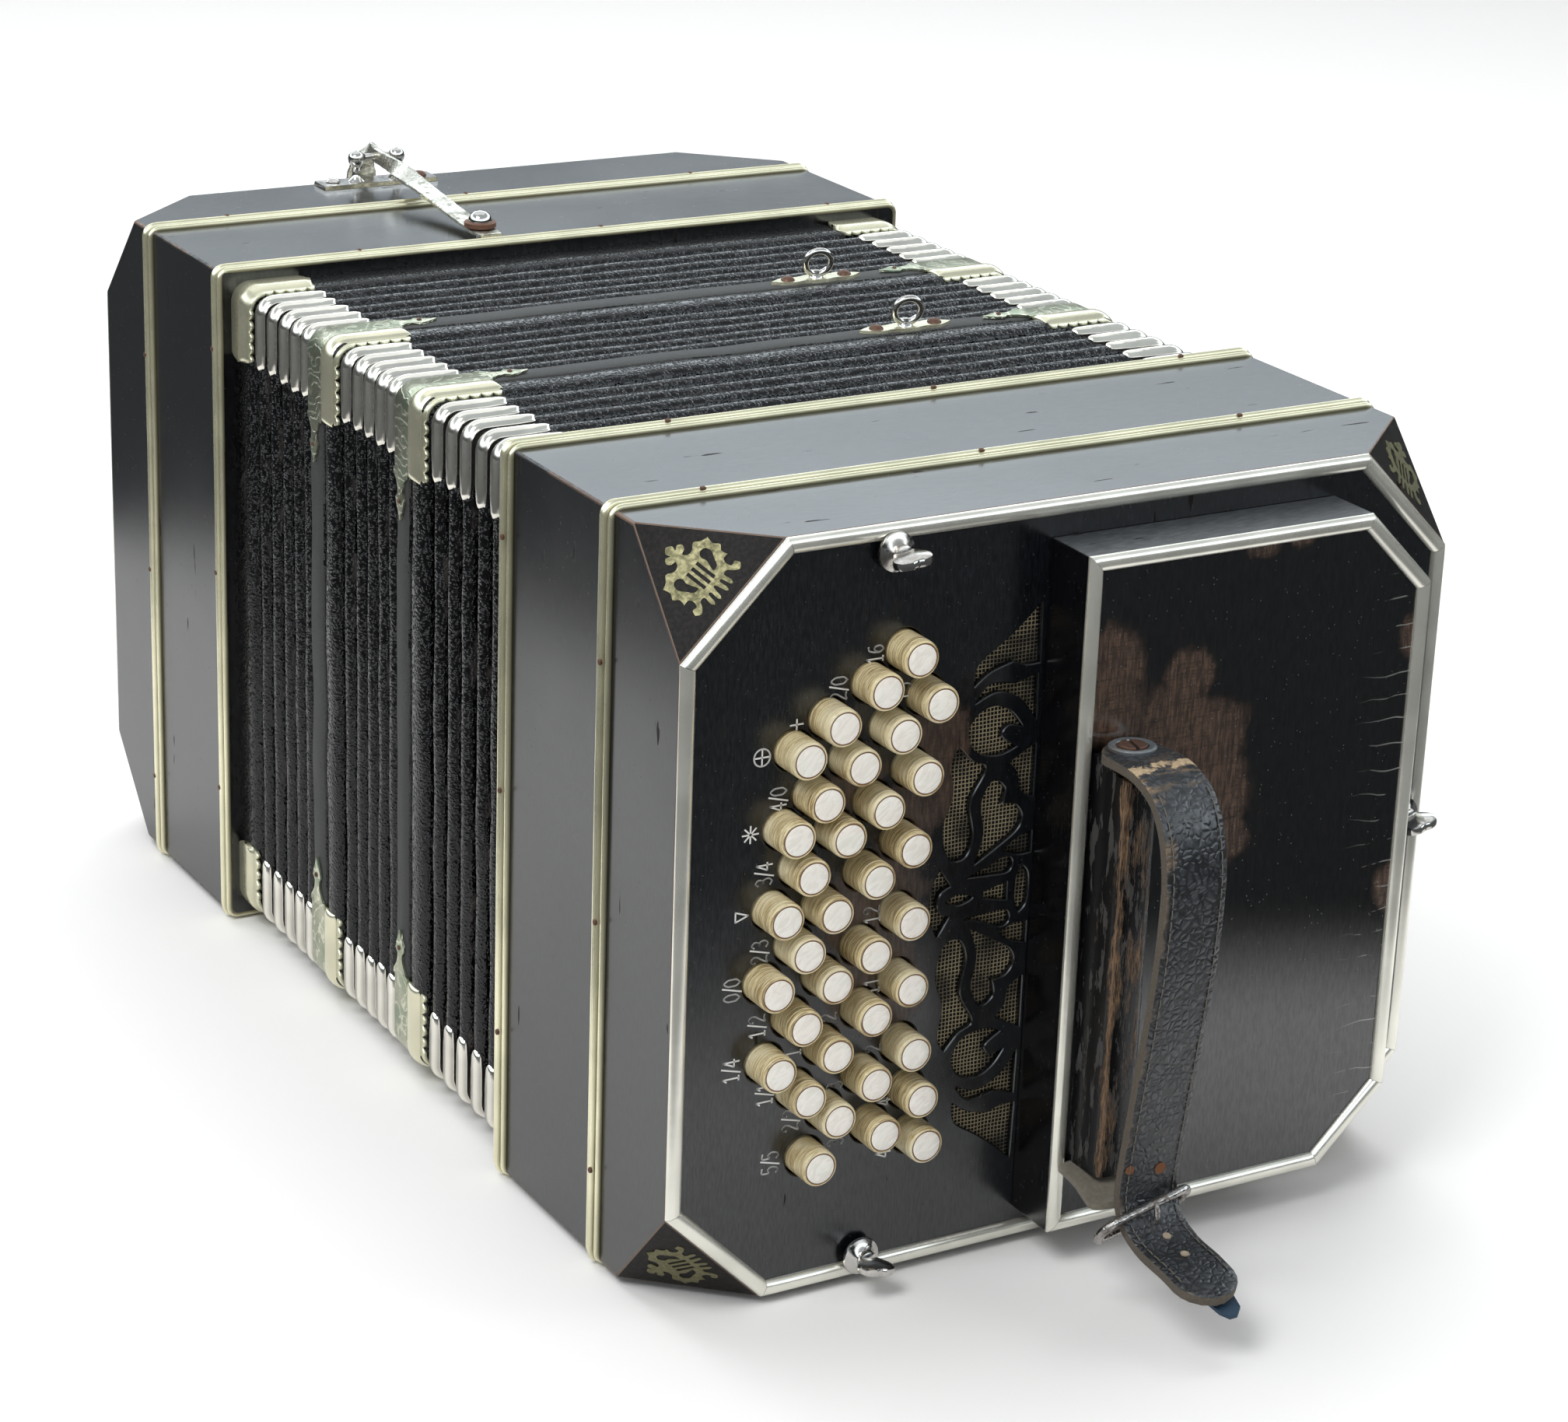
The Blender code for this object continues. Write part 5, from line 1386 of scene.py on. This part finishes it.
def corner_path(inset, leg, arc=8, straight=3):
    """An L from one side round a corner to the next: (x, z, normal, distance to the nearer end)."""
    half_x, half_z = HALF_WIDTH - inset, HALF_HEIGHT - inset
    radius = BELLOWS_CORNER + 0.6
    reaches = [0.0, 0.12, 0.35, 0.75, 1.3, 2.0]
    reaches += [2.0 + (leg - radius - 2.0) * k / straight for k in range(1, straight + 1)]
    path = [(half_x - leg + reach, half_z, Vector((0, 1)), reach) for reach in reaches]
    for k in range(1, arc):
        a = math.radians(90 - 90 * k / arc)
        path.append((half_x - radius + radius * math.cos(a), half_z - radius + radius * math.sin(a),
                     Vector((math.cos(a), math.sin(a))), leg))
    return path + [(half_x, half_z - leg + reach, Vector((1, 0)), reach) for reach in reaches[::-1]]


def corner_ring(corner, x, z, normal, section):
    """A ring across a corner's path. section holds (distance from the bass end's face, rise)."""
    sx, sz = corner
    return [along(u, sx * (x + normal.x * rise), sz * (z + normal.y * rise)) for u, rise in section]


# A cap's section: (share of its half width, rise, painted shade). The third column is a painted dark
# reflection down the middle and right of the round back, and painted shade on the flanges.
CAP_SECTION = [(-0.9, -4.6, 0.9), (-0.9, -1.3, 0.9), (-1.0, -0.85, 0.0), (-0.86, -0.75, 0.7),
               (-0.78, -0.3, 0.5), (-0.58, 0.35, 0.0), (-0.3, 0.72, 0.0), (0.0, 0.84, 0.9), (0.3, 0.72, 0.9),
               (0.58, 0.35, 0.2), (0.78, -0.3, 0.0), (0.86, -0.75, 0.7), (1.0, -0.85, 0.0), (0.9, -1.3, 0.9),
               (0.9, -4.6, 0.9)]


def caps(section, number, centre):
    """Bright metal caps over one fold's four corners: a round back with thin flanges and round ends."""
    facts = SECTIONS[section]
    mesh = bmesh.new()
    stains_and_painted_shade = []
    for sx, sz in CORNERS:
        lean = 0.3 * noise.noise(Vector((sx * 3.1, sz * 2.3, number + facts["seed"])))
        leg = CAP_LEG + 1.2 * noise.noise(Vector((sx, sz, number * 1.7 + facts["seed"])))
        rings = []
        for x, z, normal, reach in corner_path(BELLOWS_INSET - 0.2, leg):
            close = rounding(reach, 4.4)
            ring = [(centre + lean + across * CAP_HALF * close,
                     rise if rise < -0.6 else rise + (close - 1) * 0.8)
                    for across, rise, stain_and_painted_shade in CAP_SECTION]
            rings.append(corner_ring((sx, sz), x, z, normal, ring))
            # Painted dark reflection: laid on strongly on the side legs and faintly on the top legs, and
            # faded out at the tips.
            reflection_shade = (0.1 + 0.6 * max(normal.x, 0.0)) * min(reach / 5.0, 1.0)
            stains_and_painted_shade += [stain_and_painted_shade * reflection_shade for across, rise, stain_and_painted_shade in CAP_SECTION]
        skin(mesh, rings)
    made = piece(f"bellows_{section}_caps_{number}", mesh, "caps", None, "nickel", smooth=50)
    paint_points(made, "tarnish_and_painted_shade", stains_and_painted_shade)
    rigid_blend(made)


LIP_EDGE = 1.6
LIP_BACK = 17.0


def lip(section, ends, at_start, body):
    """The leather band that joins a section to its case."""
    a, b = ends
    inset = BELLOWS_INSET
    if at_start:
        profile = [(a, inset), (b - LIP_EDGE, inset), (b, inset + LIP_EDGE), (b, LIP_BACK), (a, LIP_BACK)]
    else:
        profile = [(a, LIP_BACK), (a, inset + LIP_EDGE + 1.0), (a + LIP_EDGE, inset + 0.5),
                   (a + 0.4 * (b - a), inset), (b, inset), (b, LIP_BACK)]
    mesh = shell([bellows_ring(u, i, 7.0, 0.3) for u, i in profile], closed=True)
    made = piece(f"bellows_{section}_lip", mesh, "roll", body, "bellows_leather", smooth=60)
    paint_points(made, "wear", [0.35] * len(made.data.vertices))


def bellows_section(section):
    facts = SECTIONS[section]
    (start, end), (bass_lip, treble_lip), crests = facts["ends"], facts["lips"], facts["crests"]
    first, last = start + bass_lip, end - treble_lip
    if bass_lip:
        lip(section, (start, first), True, facts["bodies"][0])
    if treble_lip:
        lip(section, (last, end), False, facts["bodies"][1])
    shares = [i / (len(crests) + 1) for i in range(len(crests) + 2)]
    for i, centre in enumerate(crests, 1):
        crest(section, i, centre)
        caps(section, i, centre)
    edges = [first] + [c for centre in crests for c in (centre - CREST_HALF, centre + CREST_HALF)] + [last]
    for i in range(len(crests) + 1):
        valley(section, i, edges[2 * i:2 * i + 2], shares[i:i + 2])
    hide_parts("bellows_section_" + section)


# Frames, corner plates and ring eyes

def frame_leather(name, ends):
    """A frame's leather: a round roll on its bass side, and a sunk flat band on the other."""
    a, middle, b = ends
    profile = [(a, 17.0), (a, 8.0)]
    for k in range(9):
        angle = math.pi * k / 8
        profile.append((a + (middle - a) * (1 - math.cos(angle)) / 2,
                        BELLOWS_INSET + 2.6 - 3.4 * math.sin(angle) ** 0.7))
    profile += [(middle + 0.1, 4.4), (middle + 0.6, 3.9), (b - 1.0, 3.9), (b - 0.2, 4.4), (b, 5.6), (b, 17.0)]
    rings = [bellows_ring(u, inset, 60.0 + a, 0.45 if inset < 7 else 0.0) for u, inset in profile]
    mesh = shell(rings, closed=True)
    band_start = (middle + 0.3 - LENGTH / 2) * MM
    for face in mesh.faces:
        if face.calc_center_median().y > band_start:
            face.material_index = 1
    made = piece(name + "_leather", mesh, "roll band", name, "bellows_leather", smooth=50, stands_for=(name,))
    wear = [0.8 if i in (9, 10, 11) else 0.1 for i, ring in enumerate(rings) for point in ring]
    paint_points(made, "wear", wear)


SCALLOP_PITCH = 3.7
SCALLOP_DEPTH = 2.0
SCALLOP_STEPS = 46


def scallop(reach, leg):
    """How far a scalloped edge draws back at a place along a plate's leg."""
    if reach >= leg:
        return 0.3
    return SCALLOP_DEPTH * (1 - abs(math.sin(math.pi * reach / SCALLOP_PITCH)) ** 0.7)


# The leaf finial beyond a corner plate's leg: (distance along the leg, half width)
FINIAL = [(-1.5, 4.4), (0.0, 4.3), (1.1, 3.3), (2.6, 2.2), (4.4, 1.6), (5.6, 1.5), (6.6, 2.2), (7.3, 3.0),
          (8.2, 2.6), (9.6, 2.2), (11.4, 1.2), (13.8, 0.1)]
FINIAL_NAIL = 8.0
FLAT_LEG = FRAME_LEG + 0.8


def finials(mesh, nails, corner, centre):
    """A leaf beyond each leg of a corner's flat plate, held by a nail."""
    for normal in (Vector((0, 1)), Vector((1, 0))):
        def across(reach, section):
            x = HALF_WIDTH - PLATE_SURFACE - (FLAT_LEG + reach) * normal.y
            z = HALF_HEIGHT - PLATE_SURFACE - (FLAT_LEG + reach) * normal.x
            return corner_ring(corner, x, z, normal, [(centre + aside, rise) for aside, rise in section])

        skin(mesh, [across(reach, ((-half, 0.0), (-half, 0.6), (0.0, 0.85), (half, 0.6), (half, 0.0)))
                    for reach, half in FINIAL])
        spot, outer = across(FINIAL_NAIL, ((0.0, 0.8), (0.0, 2.0)))
        turned(nails, spot, outer - spot, [(-0.3, 0.8), (0.2, 0.8), (0.5, 0.3)], 10)


def corner_plates(name, ends):
    """Engraved angle plates on a frame's corners, with a bead, a scalloped edge and leaf finials."""
    a, middle, b = ends
    mesh, nails = bmesh.new(), bmesh.new()
    stains_and_painted_shade = []
    for corner in CORNERS:
        rings = []
        for *spot, reach in corner_path(PLATE_SURFACE, FRAME_LEG, 10, SCALLOP_STEPS):
            shrink = rounding(reach, 2.0)
            edge = a - 0.3 + scallop(reach, FRAME_LEG) + (1 - shrink) * 4
            bead = [(edge, -0.45), (edge + 0.25, -0.12), (a + 2.1 + (1 - shrink) * 3, 0.05)]
            for k in range(9):
                angle = math.pi * k / 8
                bead.append((a + 2.6 + (middle - a - 3.0) * (1 - math.cos(angle)) / 2,
                             0.3 + 1.35 * math.sin(angle) * shrink))
            rings.append(corner_ring(corner, *spot, bead + [(u, rise - 0.6) for u, rise in bead[::-1]]))
            # Darker on the scalloped edge and the underside, which gives the plate a dark rim: partly patina,
            # partly painted shade that dulls the edge's highlights.
            stains_and_painted_shade += [0.5, 0.0, 0.5] + [0.0] * 9 + [0.9] * 12
        skin(mesh, rings, paint=1)
        rings = []
        for *spot, reach in corner_path(PLATE_SURFACE, FLAT_LEG, 8, 8):
            low, high = middle - 0.3, b - 0.6 + 0.125 * math.sin(reach * 1.9)
            section = [(low, 0.0), (low, 0.75), (high - 0.5, 0.75), (high, 0.35), (high, 0.0)]
            rings.append(corner_ring(corner, *spot, section))
        skin(mesh, rings)
        finials(mesh, nails, corner, (middle + b) / 2 + 0.6)
        stains_and_painted_shade += [0.0] * (len(mesh.verts) - len(stains_and_painted_shade))
    made = piece(name + "_corner_plates", mesh, "engraved corner", name, "nickel", smooth=45)
    paint_points(made, "tarnish_and_painted_shade", stains_and_painted_shade)
    piece(name + "_plate_nails", nails, "rust", name, "nickel")


def lip_plates():
    """Plain angle plates with a scalloped edge where the bellows meet the treble case."""
    a, b = LIP_PLATE_ENDS
    middle = (a + b) / 2 + 0.8
    mesh = bmesh.new()
    stains_and_painted_shade = []
    for corner in CORNERS:
        rings = []
        for *spot, reach in corner_path(PLATE_SURFACE, LIP_LEG, 10, SCALLOP_STEPS):
            wide = (b - a) / 2 * rounding(reach, 2.6)
            edge = middle - wide - 1.2 + scallop(reach, LIP_LEG)
            outline = [(edge, -0.45), (edge + 0.25, -0.12), (middle - wide + 1.2, 0.05),
                       (middle - wide + 2.4, 0.9), (middle, 1.1), (middle + wide - 0.4, 0.7)]
            rings.append(corner_ring(corner, *spot, outline + [(u, rise - 0.7) for u, rise in outline[::-1]]))
            # Darker on the scalloped edge, the far edge and the underside, a dark rim that is partly patina
            # and partly painted shade.
            stains_and_painted_shade += [0.5, 0.0, 0.4, 0.0, 0.0, 0.3] + [0.9] * 6
        skin(mesh, rings)
    made = piece("bellows_treble_lip_plates", mesh, "corner", "treble_end", "nickel", smooth=45)
    paint_points(made, "tarnish_and_painted_shade", stains_and_painted_shade)


# One half of a ring eye's plate, from tip to tip
EYE_HALF = [(-16.5, 0), (-12.5, 2.6), (-9.0, 3.4), (-6.5, 2.6), (-4.2, 3.0), (-2.0, 3.7), (2.0, 3.7),
            (4.2, 3.0), (6.5, 2.6), (9.0, 3.4), (12.5, 2.6), (16.5, 0)]
# Where each eye stands: (x, distance from the bass end's face)
EYE_PLACES = {"bellows_frame_treble": (54.5, 237.0), "bellows_frame_bass": (50.0, 175.0)}
EYE_RADIUS = 4.2
EYE_WIRE = 1.1
UP = (0, 0, 1)


def ring_eye(body, x, u):
    """A screwed plate with a standing wire ring, for the strap that holds the bellows shut."""
    top = HALF_HEIGHT - BELLOWS_INSET + 0.15
    mesh = bmesh.new()
    outline = spline(EYE_HALF + [(a, -b) for a, b in EYE_HALF[-2:0:-1]], 3, True, (0, 11))
    slab(mesh, outline, [], lambda a, b: along(u + b, x + a, top - 0.4),
         lambda a, b: along(u + b * 0.96, x + a * 0.985, top + 0.9))
    turned(mesh, along(u, x, top + 0.8), UP, [(0, 2.4), (0.6, 2.2), (1.3, 1.2), (2.4, 1.1)], 16, 1)
    centre = along(u - 1.0, x, top + 5.9)
    turn = Matrix.Rotation(math.radians(-14), 3, "Z") @ Matrix.Rotation(math.radians(16), 3, "X")
    angles = [math.tau * k / 28 for k in range(28)]
    ring = [centre + turn @ Vector((math.cos(a), 0, math.sin(a))) * EYE_RADIUS * MM for a in angles]
    tube(mesh, ring, EYE_WIRE, 12, closed=True, paint=1)
    for sign in (-1, 1):
        spot = along(u, x + sign * 10.4, top + 0.7)
        turned(mesh, spot, UP, [(0, 2.3), (0.5, 2.2), (1.2, 1.5), (1.5, 0.5)], 18, 2)
    piece(body + "_ring_eye", mesh, "corner bright rust", body, "nickel", smooth=45)


# Air lever, bracket and valve

# The lever's stations: (depth from its pivot, height over the case, width, thickness, twist in turns)
LEVER_STATIONS = [
    (90.5, 2.3, 5.0, 1.0, 0.0), (90, 2.3, 7.4, 1.3, 0.0), (84, 2.3, 8.6, 1.5, 0.0), (76, 2.6, 7.4, 1.5, 0.0),
    (62, 3.8, 7.0, 1.5, 0.0), (46, 5.6, 7.0, 1.6, 0.0), (34, 6.9, 6.8, 1.6, 0.02), (22, 8.2, 5.8, 1.8, 0.12),
    (12, 9.1, 5.2, 1.9, 0.22), (0, 9.8, 5.0, 2.0, 0.25), (-4.5, 10.6, 5.0, 2.0, 0.2),
    (-8.5, 9.6, 5.8, 1.9, 0.06), (-11.8, 4.5, 8.5, 1.8, 0.0), (-13, -6, 12.5, 1.8, 0.0),
    (-12.6, -18, 14.0, 2.0, 0.0), (-11.6, -23.5, 12.0, 1.8, 0.0), (-11.2, -26, 6.0, 1.4, 0.0),
]
LEVER_SECTION = ((-1.0, -0.6), (-0.9, -1.0), (0.9, -1.0), (1.0, -0.6), (1.0, 0.6), (0.9, 1.0), (-0.9, 1.0),
                 (-1.0, 0.6))


def air_lever():
    """The engraved blade: flat at the valve, on edge between the posts, a spoon for the thumb."""
    curve = spline([station[:4] for station in LEVER_STATIONS], 6)
    twists = spline([(station[4], 0) for station in LEVER_STATIONS], 6)
    places = [on_end(1, LEVER_X, PIVOT_DEPTH + c[0], HALF_HEIGHT + c[1]) for c in curve]
    across = Vector((1, 0, 0))
    rings = []
    for i, (c, twist) in enumerate(zip(curve, twists)):
        ahead = (places[min(i + 1, len(places) - 1)] - places[max(i - 1, 0)]).normalized()
        over = across.cross(ahead).normalized()
        angle = math.tau * twist.x
        wide = (across * math.cos(angle) + over * math.sin(angle)) * c[2] * MM / 2
        deep = (over * math.cos(angle) - across * math.sin(angle)) * c[3] * MM / 2
        knurl = 1 + 0.03 * math.sin(i * 2.4)
        rings.append([places[i] + u * wide * knurl + v * deep for u, v in LEVER_SECTION])
    mesh = shell(rings)
    pin_half = BALL_SPACING / 2 - 3.0
    pin = on_end(1, LEVER_X - pin_half, PIVOT_DEPTH, HALF_HEIGHT + PIVOT_RISE)
    turned(mesh, pin, (1, 0, 0), [(0, 1.1), (2 * pin_half, 1.1)], 16, 1)
    piece("air_lever_blade", mesh, "blade bright", "air_lever", "nickel", smooth=40,
          stands_for=("air_lever",))


# A post's profile: (height over the case, radius)
POST_PROFILE = ((0.9, 2.9), (1.6, 2.9), (2.2, 2.2), (3.6, 1.35), (6.0, 1.3), (6.9, 1.9), (7.2, 2.1),
                (8.0, 2.55), (9.2, 2.75), (10.4, 2.5), (11.3, 1.7), (11.8, 0.5))


def lever_bracket():
    half_x, half_depth = BRACKET_HALF
    mesh = bmesh.new()
    outline = [(half_x, -half_depth), (half_x, half_depth), (-half_x, half_depth), (-half_x, -half_depth)]
    slab(mesh, outline, [], lambda x, d: on_end(1, LEVER_X + x, PIVOT_DEPTH + d, HALF_HEIGHT + 0.05),
         lambda x, d: on_end(1, LEVER_X + x * 0.99, PIVOT_DEPTH + d * 0.96, HALF_HEIGHT + 1.5))
    for sign in (-1, 1):
        foot = on_end(1, LEVER_X + sign * BALL_SPACING / 2, PIVOT_DEPTH, HALF_HEIGHT)
        turned(mesh, foot, UP, POST_PROFILE, 24)
        screw = on_end(1, LEVER_X + sign * (half_x - 5.0), PIVOT_DEPTH, HALF_HEIGHT + 1.3)
        turned(mesh, screw, UP, [(0, 2.5), (0.7, 2.45), (1.5, 1.6), (1.8, 0.5)], 20, int(sign > 0))
    piece("air_lever_bracket_posts", mesh, "bright rust", "treble_end", "nickel", smooth=40,
          stands_for=("air_lever_bracket",))


# The valve's rod, pad, washer and head: (sides, material, [(height over the case, radius)])
VALVE_SEAT = -24.7
VALVE_PARTS = (
    (16, 0, [(VALVE_SEAT + 2.6, 1.4), (5.4, 1.4)]),
    (32, 2, [(VALVE_SEAT, 8.6), (VALVE_SEAT + 0.4, 9.0), (VALVE_SEAT + 2.4, 9.0), (VALVE_SEAT + 3.0, 8.5),
             (VALVE_SEAT + 3.0, 2.0)]),
    (28, 1, [(3.3, 4.8), (3.5, 5.2), (4.9, 5.2), (5.2, 4.8)]),
    (24, 0, [(5.0, 3.9), (5.7, 4.0), (7.4, 3.2), (8.4, 1.7), (8.6, 0.4)]),
)


def air_valve():
    mesh = bmesh.new()
    for sides, paint, profile in VALVE_PARTS:
        turned(mesh, on_end(1, LEVER_X, VALVE_DEPTH, HALF_HEIGHT), UP, profile, sides, paint)
    piece("air_valve_rod", mesh, "bright washer suede", "air_valve", "nickel", smooth=40,
          stands_for=("air_valve",))


# Thumb screws

THUMB_SEAT = EDGING_PROUD + 0.2
THUMB_PROFILE = ((-6.0, 1.9), (0.0, 1.9), (0.0, 5.3), (0.5, 5.5), (1.1, 5.3), (1.5, 4.4), (2.2, 3.0),
                 (2.9, 2.6), (3.8, 3.0), (4.6, 2.8), (5.2, 1.6))
WING_OUTLINE = [(-2.4, 3.2), (-4.0, 5.4), (-5.6, 8.2), (-4.6, 11.0), (-2.0, 12.0), (0, 11.6), (2.0, 12.0),
                (4.6, 11.0), (5.6, 8.2), (4.0, 5.4), (2.4, 3.2), (0, 2.6)]
# The wing's layers: (distance from its middle plane, size)
WING_LAYERS = ((-1.35, 0.86), (-1.0, 0.97), (0.0, 1.0), (1.0, 0.97), (1.35, 0.86))
WING_MIDDLE = 7.4


def thumb_screw(side, place):
    x, z, turn = THUMB_PLACES[place]
    centre = on_end(side, x, -THUMB_SEAT, z)
    outward = Vector((0, side, 0))
    mesh = bmesh.new()
    turned(mesh, centre, outward, THUMB_PROFILE, 32)
    outline = spline(WING_OUTLINE, 4, True)
    spin = Matrix.Rotation(math.radians(turn), 3, outward)
    layers = []
    for aside, size in WING_LAYERS:
        local = [(a * size, side * (WING_MIDDLE + (h - WING_MIDDLE) * size), aside) for a, h in outline]
        layers.append([centre + spin @ (Vector(point) * MM) for point in local])
    skin(mesh, layers)
    name = f"{END_NAMES[side]}_thumb_screw_{place}"
    body, stands_for = (name, (name,)) if side < 0 else ("treble_end", ())
    piece(name + "_wing", mesh, "bright", body, "nickel", smooth=45, stands_for=stands_for)


# Putting it together

for side in END_NAMES:
    wooden_case(side, "action", 0.15, ACTION_DEPTH + MOULDING_WIDTH)
    wooden_case(side, "reed", ACTION_DEPTH + MOULDING_WIDTH + 0.05, REED_DEPTH)
    moulding(side, "moulding_outer", ACTION_DEPTH)
    moulding(side, "moulding_inner", REED_DEPTH - MOULDING_WIDTH)
    moulding_nails(side)
    inlays(side)
    pierced_plate(side)
    edging(side, "plate_edging", cut_rectangle(HALF_WIDTH, HALF_HEIGHT, FACET_CUT), 0.0)
    gauze_panel(side)
    hand_box(side)
    edging(side, "box_edging", box_corners(), -BOX_HEIGHT)
    hand_rail(side)
    strap(side)
    buckle(side)
    strap_screw(side)
    for place in THUMB_PLACES:
        thumb_screw(side, place)
buttons()
signs()
for section in SECTIONS:
    bellows_section(section)
for name, ends in FRAMES.items():
    frame_leather(name, ends)
    corner_plates(name, ends)
for name, (x, u) in EYE_PLACES.items():
    ring_eye(name, x, u)
lip_plates()
air_lever()
lever_bracket()
air_valve()
for node in ("bass_key_action", "treble_key_action"):
    shown = frame["nodes"][node]
    shown.data.materials.clear()
    shown.data.materials.append(M["wood"])


# Stage, lights and camera

FLOOR_REACH = 6.0
FLOOR_POOL = (0.39, 0.48)
POOL_DARK = 0.015
POOL_CENTRE = (0.05, 0.12, 0.0)
POOL_SCALE = (1.0, 0.87, 1.0)
WALL_GLOW = (0.17, 0.42)
WALL_FALL = (0.40, 0.66)
WALL_BRIGHT = 3.7
WALL_DARK = 0.02
OVERHEAD = 0.17
WALL_TINT = (0.87, 0.96, 1.02)
LIT_BY_WORLD = 0.45


def stage():
    """A plain pale floor. Seen or mirrored it is white, and mirrored it darkens far from the part."""
    mesh = bmesh.new()
    mesh.faces.new([mesh.verts.new((x * FLOOR_REACH, y * FLOOR_REACH, -0.0002))
                    for x, y in ((-1, -1), (1, -1), (1, 1), (-1, 1))])
    data = bpy.data.meshes.new("floor")
    mesh.to_mesh(data)
    mesh.free()
    floor = bpy.data.objects.new("floor", data)
    look = Surface("pale_floor", (0.80, 0.80, 0.80), 0.7)
    seen = look.node("LightPath", output="Is Camera Ray")
    mirrored_ray = seen.output("Is Glossy Ray")
    away = look.vectors("MULTIPLY", look.vectors("SUBTRACT", look.place, POOL_CENTRE), POOL_SCALE)
    far = look.node("VectorMath", {0: away}, "Value", operation="LENGTH")
    shown = seen.over(mirrored_ray * far.fade(*FLOOR_POOL, 1.0, POOL_DARK))
    dull = seen.over(mirrored_ray).inverse()
    feed(look.shader, {"Base Color": shown + dull * 0.8})
    data.materials.append(look.material)
    bpy.context.scene.collection.objects.link(floor)


def world():
    """White where it is seen. Mirrored, its walls are dim, then bright higher up, and dimmer overhead."""
    made = bpy.data.worlds.new("studio")
    bpy.context.scene.world = made
    made.use_nodes = True
    tree = made.node_tree
    tree.nodes.clear()
    height = add(tree, "SeparateXYZ", {0: add(tree, "TexCoord", {}, "Generated")}, "Z")
    wall = height.fade(*WALL_GLOW, WALL_DARK, WALL_BRIGHT) * height.fade(*WALL_FALL, 1.0, OVERHEAD)
    path = add(tree, "LightPath", {}, "Is Camera Ray")
    seen = path.over(path.output("Is Transmission Ray"))
    glossy = path.output("Is Glossy Ray")
    strength = seen + glossy * wall + seen.over(glossy).inverse() * LIT_BY_WORLD
    colour = glossy.mix((1.0, 1.0, 1.0), WALL_TINT)
    background = add(tree, "Background", {"Color": colour, "Strength": strength})
    feed(tree.nodes.new("ShaderNodeOutputWorld"), {"Surface": background})


def lamp(name, place, size, power, mirrored=False):
    data = bpy.data.lights.new(name, "AREA")
    data.shape = "RECTANGLE"
    data.size, data.size_y = size
    data.energy = power
    made = bpy.data.objects.new(name, data)
    made.visible_glossy = mirrored
    made.location = place
    made.rotation_mode = "QUATERNION"
    made.rotation_quaternion = (Vector(LAMP_TARGET) - Vector(place)).to_track_quat("-Z", "Y")
    bpy.context.scene.collection.objects.link(made)


LAMP_TARGET = (0, 0, 0.1)
CAMERA_PLACE = (-0.5730, -1.0175, 0.5269)
CAMERA_AZIMUTH = -30.546
CAMERA_ELEVATION = 20.52
CAMERA_ROLL = 2.114
CAMERA_LENS = 90.41


def camera():
    data = bpy.data.cameras.new("camera")
    data.sensor_width = 36.0
    data.lens = CAMERA_LENS
    data.clip_end = 50.0
    made = bpy.data.objects.new("camera", data)
    azimuth, elevation, roll = (math.radians(v) for v in (CAMERA_AZIMUTH, CAMERA_ELEVATION, CAMERA_ROLL))
    back = Vector((math.sin(azimuth) * math.cos(elevation), -math.cos(azimuth) * math.cos(elevation),
                   math.sin(elevation)))
    level = (-back).cross(Vector((0, 0, 1))).normalized()
    upright = level.cross(-back)
    right = math.cos(roll) * level + math.sin(roll) * upright
    up = -math.sin(roll) * level + math.cos(roll) * upright
    turn = Matrix((right, up, back)).transposed().to_4x4()
    made.matrix_world = Matrix.Translation(CAMERA_PLACE) @ turn
    bpy.context.scene.collection.objects.link(made)
    bpy.context.scene.camera = made


stage()
world()
camera()
lamp("key", (-1.2, -0.6, 1.8), (0.9, 0.9), 20.0, mirrored=True)
lamp("top", (0.2, 0.8, 2.0), (2.2, 1.6), 24.0)
lamp("sheen", (0.2, 0.8, 1.9), (2.1, 1.5), 6.5, mirrored=True)
lamp("fill", (1.6, -1.2, 1.0), (1.0, 1.4), 8.0)

bpy.context.scene.view_settings.view_transform = "Standard"
